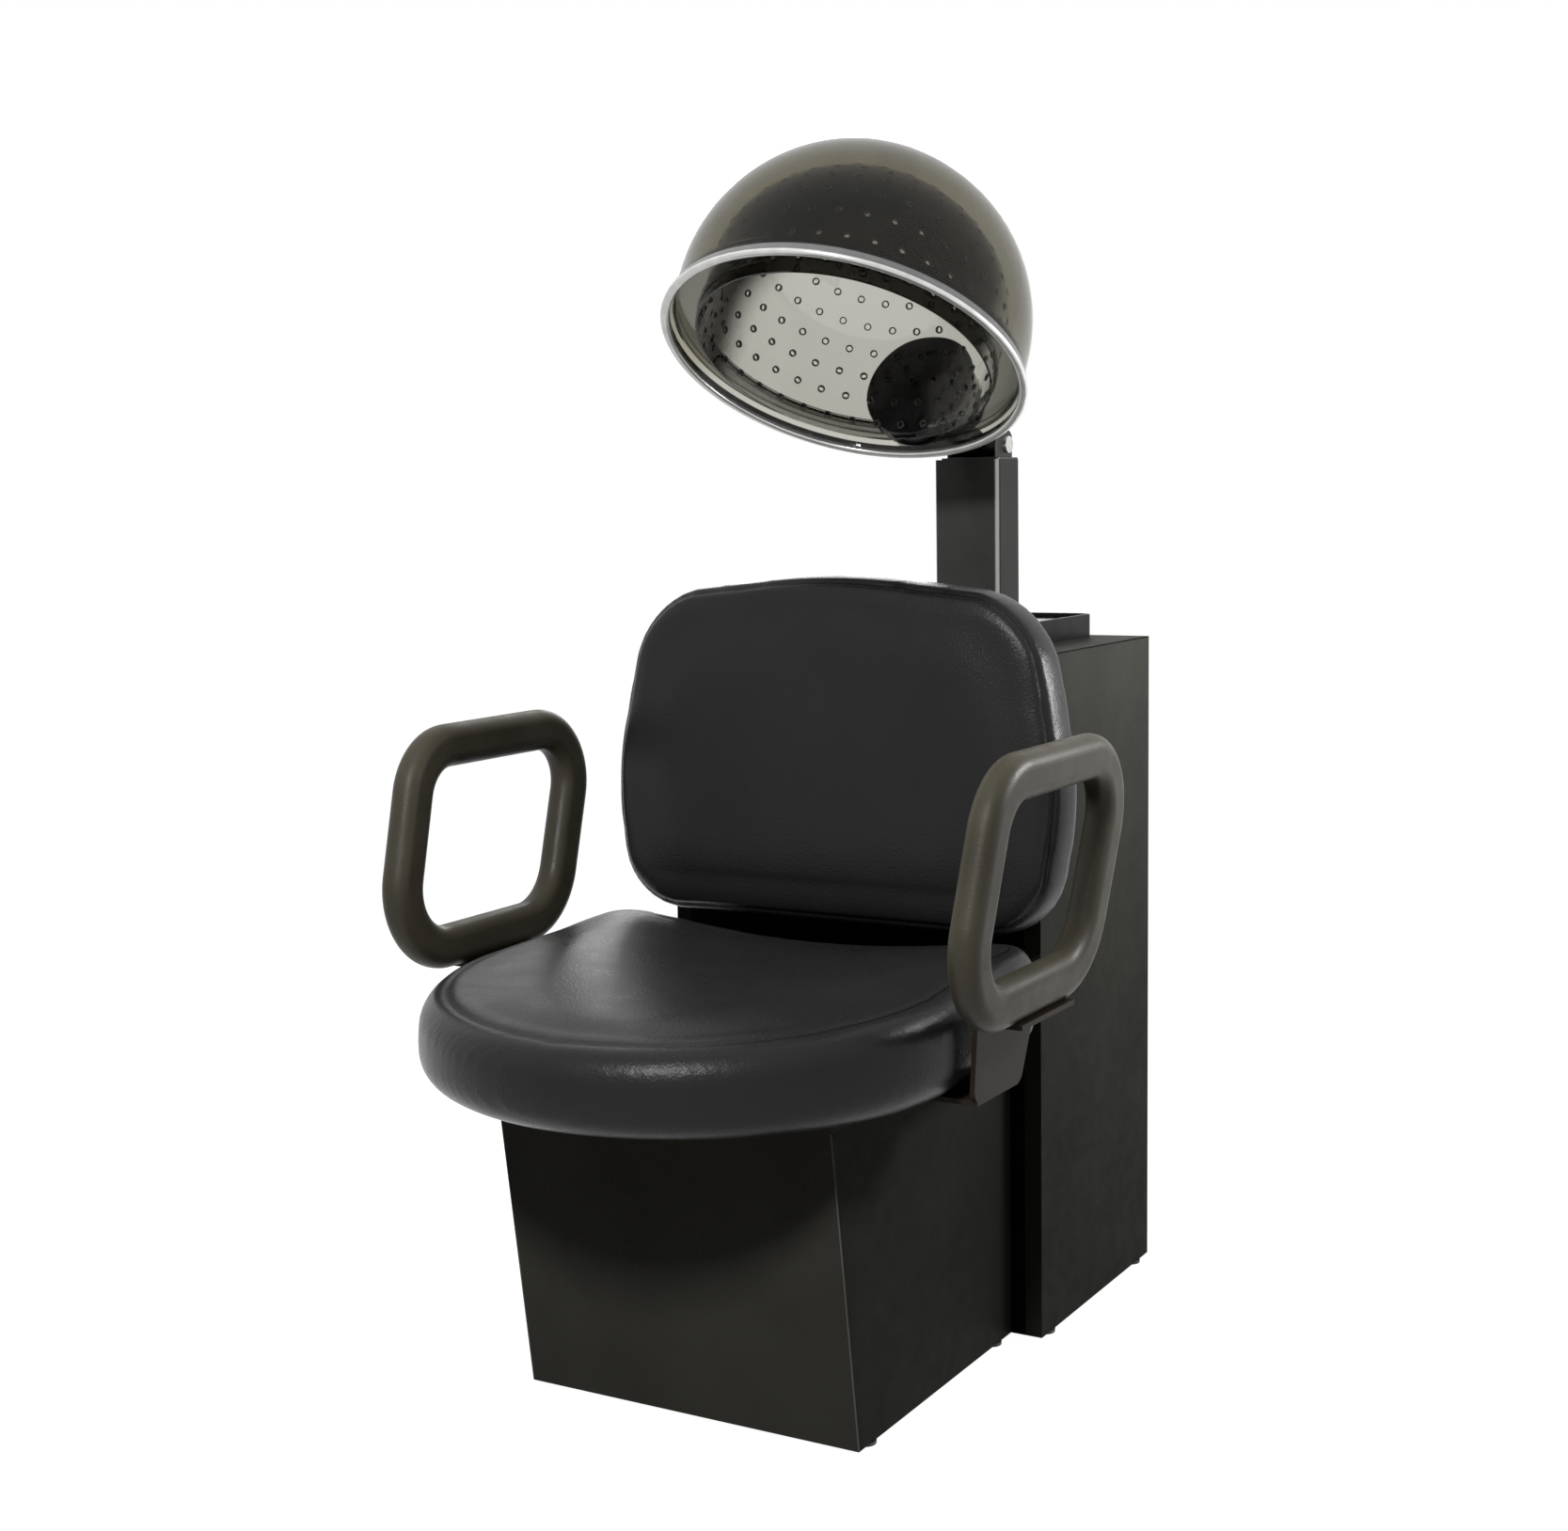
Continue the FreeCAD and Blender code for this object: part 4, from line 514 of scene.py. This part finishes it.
def upholster(name, node, panel_faces, band_faces, seam_place, held, ease=None):
    """A padded cover: swollen from the node's form, with a sunk seam between its panel and its side band."""
    form = merged_copy(node)
    form.normal_update()
    panel_tree = faces_tree(form, panel_faces)
    band_tree = faces_tree(form, band_faces)
    piece = new_piece(name, form)
    remesh = piece.modifiers.new("even_cloth", "REMESH")
    remesh.mode = "VOXEL"
    remesh.voxel_size = cushion_voxel
    settle(piece)
    start = vectors_of(piece, "co")
    places = [Vector(point) for point in start]
    fixed = np.array([held(place) for place in places])
    across = [seam_place(place, panel_tree.find_nearest(place)[3], band_tree.find_nearest(place)[3])
              for place in places]
    seam = piece.data.attributes.new("across_seam", "FLOAT", "POINT")
    seam.data.foreach_set("value", across)
    if ease:
        start = ease(start)
        place_points(piece, start)
    inflate(piece, start, vectors_of(piece, "normal"), fixed, cushion_swell)
    even = piece.modifiers.new("smooth_cloth", "SMOOTH")
    even.factor = 0.5
    even.iterations = 4
    finer = piece.modifiers.new("finer", "SUBSURF")
    finer.levels = 1
    finer.render_levels = 1
    settle(piece)
    values = np.zeros(len(piece.data.vertices))
    piece.data.attributes["across_seam"].data.foreach_get("value", values)
    sink = np.exp(-(values / seam_half_width) ** 2) * seam_depth
    puff = np.exp(-((np.abs(values) - puff_place) / puff_half_width) ** 2) * seam_depth * puff_share
    place_points(piece, vectors_of(piece, "co") + vectors_of(piece, "normal") * (puff - sink)[:, None])
    piece.data.shade_smooth()
    return piece


vinyl_dark = (0.012, 0.012, 0.012)
vinyl_light = (0.016, 0.016, 0.016)
seam_shade_black = (0.004, 0.004, 0.004)
vinyl, tree, shader = shader_of("sewn_vinyl", Specular_IOR_Level=0.16)
spread(tree, object_noise(tree, 5, 3), vinyl_dark, vinyl_light, shader.inputs["Base Color"])
spread(tree, object_noise(tree, 25, 4), 0.26, 0.32, shader.inputs["Roughness"])
# Along the seam the colour darkens to near black, as painted shade in the sunk seam.
seam = tree.nodes.new("ShaderNodeAttribute")
seam.attribute_name = "across_seam"
away = tree.nodes.new("ShaderNodeMath")
away.operation = "ABSOLUTE"
tree.links.new(seam.outputs["Fac"], away.inputs[0])
seam_shade_line = tree.nodes.new("ShaderNodeMapRange")
seam_shade_line.inputs["From Min"].default_value = seam_shade_half_width * 0.5
seam_shade_line.inputs["From Max"].default_value = seam_shade_half_width
tree.links.new(away.outputs[0], seam_shade_line.inputs["Value"])
darken = tree.nodes.new("ShaderNodeMix")
darken.data_type = "RGBA"
darken.inputs["A"].default_value = (*seam_shade_black, 1)
tree.links.new(seam_shade_line.outputs["Result"], darken.inputs["Factor"])
tree.links.new(shader.inputs["Base Color"].links[0].from_socket, darken.inputs["B"])
tree.links.new(darken.outputs["Result"], shader.inputs["Base Color"])
press(tree, shader, object_noise(tree, 380, 5), depth=0.0004)

seat_low, seat_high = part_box("seat_cushion")
seat_middle_z = (seat_low.z + seat_high.z) / 2
seat_seam_inset = 0.033
seat_held_height = 0.018
far_from_seam = 1.0
level_enough = 0.975
upright_enough = 0.02


def seat_seam(point, from_panel, from_band):
    """The seat's seam runs round its top, just inside the roll."""
    return from_band - seat_seam_inset if point.z > seat_middle_z else far_from_seam


seat_pad = upholster("seat_pad", "seat_cushion", panel_faces=lambda normal: normal.z > level_enough,
                     band_faces=lambda normal: abs(normal.z) < upright_enough, seam_place=seat_seam,
                     held=lambda point: point.z < seat_low.z + seat_held_height)
seat_pad.data.materials.clear()
seat_pad.data.materials.append(vinyl)
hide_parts("seat_cushion")
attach(seat_pad, "chair")

# The back is foam on its own board under the same vinyl, and leans a little. Its cover is drawn in at the
# shoulders, and its seam runs half way round the front roll.
back_lean_angle = math.radians(3.5)
back_forward = Vector((0, -math.cos(back_lean_angle), math.sin(back_lean_angle)))
back_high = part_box("back_cushion")[1]
back_half = back_high.x
back_top = back_high.z
back_rear = Vector((0, back_high.y, 0.736))
back_held_depth = 0.016
facing_enough = 0.995
across_enough = 0.03
back_wider = 0.009
back_aside = 0.007
shoulder_drop = 0.034
shoulder_fade = 0.075


def ease_back(points):
    """The cover sits a little wide and to the sitter's left, with its shoulders drawn in."""
    eased = points.copy()
    share = points[:, 0] / back_half
    drawn = shoulder_drop * np.exp(-(back_top - points[:, 2]) / shoulder_fade)
    eased[:, 0] += back_aside + share * back_wider - share * np.abs(share) * drawn
    return eased


def back_seam(point, from_panel, from_band):
    """The back's seam runs half way round its front roll."""
    return from_panel - from_band


back_pad = upholster("back_pad", "back_cushion",
                     panel_faces=lambda normal: normal.dot(back_forward) > facing_enough,
                     band_faces=lambda normal: abs(normal.dot(back_forward)) < across_enough,
                     seam_place=back_seam,
                     held=lambda point: (point - back_rear).dot(back_forward) < back_held_depth,
                     ease=ease_back)
back_pad.data.materials.clear()
back_pad.data.materials.append(vinyl)
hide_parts("back_cushion")
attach(back_pad, "chair")

# The hood is blown from clear smoked plastic: an outer dome, and a pierced inner bowl with an air space
# between them, closed by a ring at the mouth. The tint of both runs from dark at the front to pale at the
# rear, as painted shade on the front half and painted light on the rear half.
hood_tilt = math.radians(30.6)
hood_mouth = Vector((0, 0.093, 1.046))
hood_frame = Matrix.Translation(hood_mouth) @ Matrix.Rotation(-hood_tilt, 4, "X")


def smoked(name, tint, roughness, ior):
    """Clear smoked plastic, with its own colour in the light that passes."""
    return shader_of(name, Base_Color=(*tint, 1), Roughness=roughness, Transmission_Weight=1.0, IOR=ior,
                     Specular_IOR_Level=0.2)


def deepen(tree, colour, density):
    """Darkens the clear plastic with the thickness that the light passes."""
    absorb = tree.nodes.new("ShaderNodeVolumeAbsorption")
    absorb.inputs["Color"].default_value = (*colour, 1)
    absorb.inputs["Density"].default_value = density
    tree.links.new(absorb.outputs["Volume"], tree.nodes["Material Output"].inputs["Volume"])


tint_from = -0.012
tint_to = 0.048


def shade_tint_front_to_rear(tree, shader, shaded_front_tint, lit_rear_tint):
    """Lets the tint fade from dark at the hood's front to pale at its rear, as painted shade and painted
    light.
    """
    place = tree.nodes.new("ShaderNodeTexCoord")
    turn = tree.nodes.new("ShaderNodeMapping")
    turn.inputs["Rotation"].default_value = (hood_tilt, 0, 0)
    axes = tree.nodes.new("ShaderNodeSeparateXYZ")
    along = tree.nodes.new("ShaderNodeMapRange")
    along.interpolation_type = "SMOOTHSTEP"
    mouth_in_turned = (Matrix.Rotation(hood_tilt, 4, "X") @ hood_mouth).y
    along.inputs["From Min"].default_value = mouth_in_turned + tint_from
    along.inputs["From Max"].default_value = mouth_in_turned + tint_to
    tints = tree.nodes.new("ShaderNodeMix")
    tints.data_type = "RGBA"
    tints.inputs["A"].default_value = (*shaded_front_tint, 1)
    tints.inputs["B"].default_value = (*lit_rear_tint, 1)
    tree.links.new(place.outputs["Object"], turn.inputs["Vector"])
    tree.links.new(turn.outputs["Vector"], axes.inputs["Vector"])
    tree.links.new(axes.outputs["Y"], along.inputs["Value"])
    tree.links.new(along.outputs["Result"], tints.inputs["Factor"])
    tree.links.new(tints.outputs["Result"], shader.inputs["Base Color"])


# The dome and the bowl are darker at the front and paler at the rear, as painted shade and painted light.
dome_front_shaded = (0.80, 0.78, 0.70)
dome_rear_lit = (0.98, 0.98, 0.97)
smoked_dome, tree, shader = smoked("smoked_dome", dome_rear_lit, roughness=0.04, ior=1.3)
shade_tint_front_to_rear(tree, shader, dome_front_shaded, dome_rear_lit)
deepen(tree, (0.52, 0.505, 0.43), density=450)
dress(smoked_dome, "outer_dome")
smoked_ring, tree, shader = smoked("smoked_ring", (0.8, 0.8, 0.78), roughness=0.08, ior=1.35)
deepen(tree, (0.4, 0.4, 0.38), density=420)
dress(smoked_ring, "mouth_ring")
bowl_front_shaded = (0.03, 0.028, 0.023)
bowl_rear_lit = (0.92, 0.92, 0.93)
smoked_bowl, tree, shader = smoked("smoked_bowl", bowl_rear_lit, roughness=0.03, ior=1.3)
shade_tint_front_to_rear(tree, shader, bowl_front_shaded, bowl_rear_lit)
dress(smoked_bowl, "inner_bowl")

# Each air hole is punched through the warm bowl, which leaves a raised lip round it. The lip is coloured dark
# as painted shade at the hole's edge. The rows stand a pitch apart up the skirt, over the shoulder and on to
# the crown.
bowl_radius = 0.162
bowl_skirt = 0.072
bowl_height = 0.209
bowl_shoulder = 0.110
bowl_wall = 0.0025
hole_pitch = 0.029
first_row = 0.018
last_row_radius = 0.022
hole_radius = 0.003
lip_width = 0.0013
lip_proud = 0.0004
lip_steps = 10


def bowl_hole_rows():
    """Radius, height and outward angle from the axis of each row of holes."""
    rows = []
    height = first_row
    while height < bowl_skirt:
        rows.append((bowl_radius, height, math.pi / 2))
        height += hole_pitch
    rise = bowl_height - bowl_skirt
    offset = bowl_radius - bowl_shoulder
    crown = (offset ** 2 + rise ** 2 - bowl_shoulder ** 2) / (2 * (rise - bowl_shoulder))
    meet = math.atan2(offset, crown - rise)
    shoulder_length = bowl_shoulder * (math.pi / 2 - meet)
    travelled = height - bowl_skirt
    while True:
        if travelled < shoulder_length:
            angle = math.pi / 2 - travelled / bowl_shoulder
            radius = offset + bowl_shoulder * math.sin(angle)
            height = bowl_skirt + bowl_shoulder * math.cos(angle)
        else:
            angle = meet - (travelled - shoulder_length) / crown
            radius = crown * math.sin(angle)
            height = bowl_height - crown + crown * math.cos(angle)
        if radius < last_row_radius:
            return rows
        rows.append((radius, height, angle))
        travelled += hole_pitch


def spun_ring(section, steps):
    """A ring from a closed section of radii and heights, turned about the vertical axis."""
    form = bmesh.new()
    corners = [form.verts.new((radius, 0, height)) for radius, height in section]
    sides = [form.edges.new((corners[i - 1], corners[i])) for i in range(len(corners))]
    bmesh.ops.spin(form, geom=corners + sides, axis=(0, 0, 1), cent=(0, 0, 0), angle=2 * math.pi, steps=steps,
                   use_merge=True)
    return form


def hole_lip():
    """One lip: a thin collar through the wall, a little proud on both sides."""
    low = -bowl_wall - lip_proud
    outside = hole_radius + lip_width
    return spun_ring([(hole_radius, low), (outside, low), (outside, lip_proud), (hole_radius, lip_proud)],
                     lip_steps)


lips = bmesh.new()
for index, (radius, height, angle) in enumerate(bowl_hole_rows()):
    count = int(round(2 * math.pi * radius / hole_pitch))
    for i in range(count):
        turned = 2 * math.pi * (i + 0.5 * (index % 2)) / count
        lean = Matrix.Translation((radius, 0, height)) @ Matrix.Rotation(angle, 4, "Y")
        one = hole_lip()
        one.transform(hood_frame @ Matrix.Rotation(turned, 4, "Z") @ lean)
        data = bpy.data.meshes.new("one_lip")
        one.to_mesh(data)
        one.free()
        lips.from_mesh(data)
        bpy.data.meshes.remove(data)
bmesh.ops.recalc_face_normals(lips, faces=lips.faces)
hole_lips = new_piece("bowl_hole_lips", lips)
# The lips' near-black colour is painted shade at the edges of the holes.
hole_lip_shade, tree, shader = shader_of("hole_lip_shade", Base_Color=(0.03, 0.03, 0.028, 1))
spread(tree, object_noise(tree, 300, 2), 0.2, 0.4, shader.inputs["Roughness"])
hole_lips.data.materials.append(hole_lip_shade)
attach(hole_lips, "hood")

# A drawn plastic edging clips over the dome's lip. It has a bright silver bead under the lip, a duller grey
# leg up the outside and a short one inside.
bead_top = 0.0005
edging_steps = 160
edging_section = [(0.1912, 0.0030), (0.1908, -0.0008), (0.1925, -0.0028), (0.1955, -0.0034),
                  (0.1985, -0.0028), (0.2000, -0.0010), (0.1998, 0.0012), (0.1976, 0.0075), (0.1962, 0.0105),
                  (0.1945, 0.0105), (0.1978, 0.0010), (0.1970, -0.0004), (0.1938, -0.0004), (0.1930, 0.0030)]
edging_form = spun_ring(edging_section, edging_steps)
edging_form.transform(hood_frame)
bmesh.ops.recalc_face_normals(edging_form, faces=edging_form.faces)
rim_edging = new_piece("rim_edging", edging_form)
rim_edging.data.shade_smooth()
leg_grey, tree, shader = shader_of("edging_leg", Roughness=0.3, Specular_IOR_Level=0.3)
spread(tree, object_noise(tree, 60, 3), (0.10, 0.098, 0.10), (0.13, 0.128, 0.13), shader.inputs["Base Color"])
bead_silver, tree, shader = shader_of("edging_bead", Roughness=0.22, Metallic=0.5)
spread(tree, object_noise(tree, 60, 3), (0.54, 0.54, 0.52), (0.66, 0.66, 0.64), shader.inputs["Base Color"])
rim_edging.data.materials.append(leg_grey)
rim_edging.data.materials.append(bead_silver)
into_hood = hood_frame.inverted()
for face in rim_edging.data.polygons:
    face.material_index = 1 if (into_hood @ face.center).z < bead_top else 0
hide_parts("rim_trim")
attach(rim_edging, "hood")

# A rubber stop sits between the tops of the bowl and the dome. It keeps the two apart and the air space even,
# and shows through the dome as a dark spot.
stop_rubber, tree, shader = shader_of("stop_rubber", Base_Color=(0.02, 0.02, 0.02, 1))
spread(tree, object_noise(tree, 90, 3), 0.6, 0.8, shader.inputs["Roughness"])
dress(stop_rubber, "bowl_top_spacer")

# The blower sits behind the bowl. It has a polished black housing inside the dome, a cover outside with two
# control knobs, and a heating ring on glazed ceramic posts.
polished, tree, shader = shader_of("polished_black", Base_Color=(0.008, 0.008, 0.009, 1),
                                   Specular_IOR_Level=0.3)
spread(tree, object_noise(tree, 20, 4), 0.08, 0.2, shader.inputs["Roughness"])
dress(polished, "blower_housing", "rear_cover", "timer_knob", "heat_knob")
element, tree, shader = shader_of("element_sheath", Roughness=0.45, Metallic=0.8)
spread(tree, object_noise(tree, 120, 4), (0.28, 0.22, 0.18), (0.45, 0.4, 0.36), shader.inputs["Base Color"])
dress(element, "heater_ring")
ceramic, tree, shader = shader_of("glazed_ceramic", Roughness=0.25)
spread(tree, object_noise(tree, 50, 3), (0.76, 0.73, 0.66), (0.84, 0.82, 0.77), shader.inputs["Base Color"])
dress(ceramic, "heater_posts")

# The tray is a black plastic moulding with a shallow recess and rounded corners. It stands on the rear box,
# and a pale mat lies loose in the recess.
tray_corner = 0.016
tray_wall = 0.005
tray_recess = 0.0085
tray_rim_round = 0.0015
corner_segments = 6
rim_segments = 2
rim_edge_angle = 1.0
same_height = 1e-6
mat_gap = 0.0004
mat_thickness = 0.002


def rounded_plate(low, high, corner):
    """A flat face with round corners, as high as the low corner."""
    form = bmesh.new()
    middle = Vector(((low.x + high.x) / 2, (low.y + high.y) / 2, low.z))
    size = Matrix.Diagonal(((high.x - low.x) / 2, (high.y - low.y) / 2, 1, 1))
    bmesh.ops.create_grid(form, x_segments=1, y_segments=1, size=1.0,
                          matrix=Matrix.Translation(middle) @ size)
    bmesh.ops.bevel(form, geom=form.verts[:], offset=corner, affect="VERTICES", segments=corner_segments,
                    profile=0.5, material=-1)
    return form


def raised(form, face, height):
    """Extrudes a face along Z and returns the moved face. The face that it started from stays."""
    grown = bmesh.ops.extrude_face_region(form, geom=[face])["geom"]
    moved = [part for part in grown if isinstance(part, bmesh.types.BMVert)]
    bmesh.ops.translate(form, verts=moved, vec=(0, 0, height))
    return [part for part in grown if isinstance(part, bmesh.types.BMFace)][0]


tray_low, tray_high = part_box("tray")
tray_form = rounded_plate(tray_low, tray_high, tray_corner)
rim = raised(tray_form, tray_form.faces[:][0], tray_high.z - tray_low.z)
bmesh.ops.inset_region(tray_form, faces=[rim], thickness=tray_wall, use_even_offset=True)
raised(tray_form, rim, -tray_recess)
bmesh.ops.delete(tray_form, geom=[rim], context="FACES_ONLY")
top_edges = [edge for edge in tray_form.edges if edge.calc_face_angle() > rim_edge_angle
             and all(abs(corner.co.z - tray_high.z) < same_height for corner in edge.verts)]
bmesh.ops.bevel(tray_form, geom=top_edges, offset=tray_rim_round, affect="EDGES", segments=rim_segments,
                profile=0.5, material=-1)
bmesh.ops.recalc_face_normals(tray_form, faces=tray_form.faces)
shallow_tray = new_piece("shallow_tray", tray_form)
tray_black, tree, shader = shader_of("tray_black", Base_Color=(0.006, 0.006, 0.006, 1),
                                     Specular_IOR_Level=0.05)
spread(tree, object_noise(tree, 40, 3), 0.24, 0.38, shader.inputs["Roughness"])
shallow_tray.data.materials.append(tray_black)
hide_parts("tray")
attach(shallow_tray, "chair")

mat_inset = Vector((tray_wall + mat_gap, tray_wall + mat_gap, 0))
mat_low = tray_low + mat_inset
mat_low.z = tray_high.z - tray_recess
mat_form = rounded_plate(mat_low, tray_high - mat_inset, tray_corner - tray_wall)
raised(mat_form, mat_form.faces[:][0], mat_thickness)
bmesh.ops.recalc_face_normals(mat_form, faces=mat_form.faces)
tray_mat = new_piece("tray_mat", mat_form)
pale_mat, tree, shader = shader_of("pale_mat", Roughness=0.5)
spread(tree, object_noise(tree, 30, 3), (0.46, 0.47, 0.45), (0.56, 0.57, 0.55), shader.inputs["Base Color"])
press(tree, shader, object_noise(tree, 300, 2), depth=0.0002)
tray_mat.data.materials.append(pale_mat)
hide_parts("tray_liner")
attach(tray_mat, "chair")
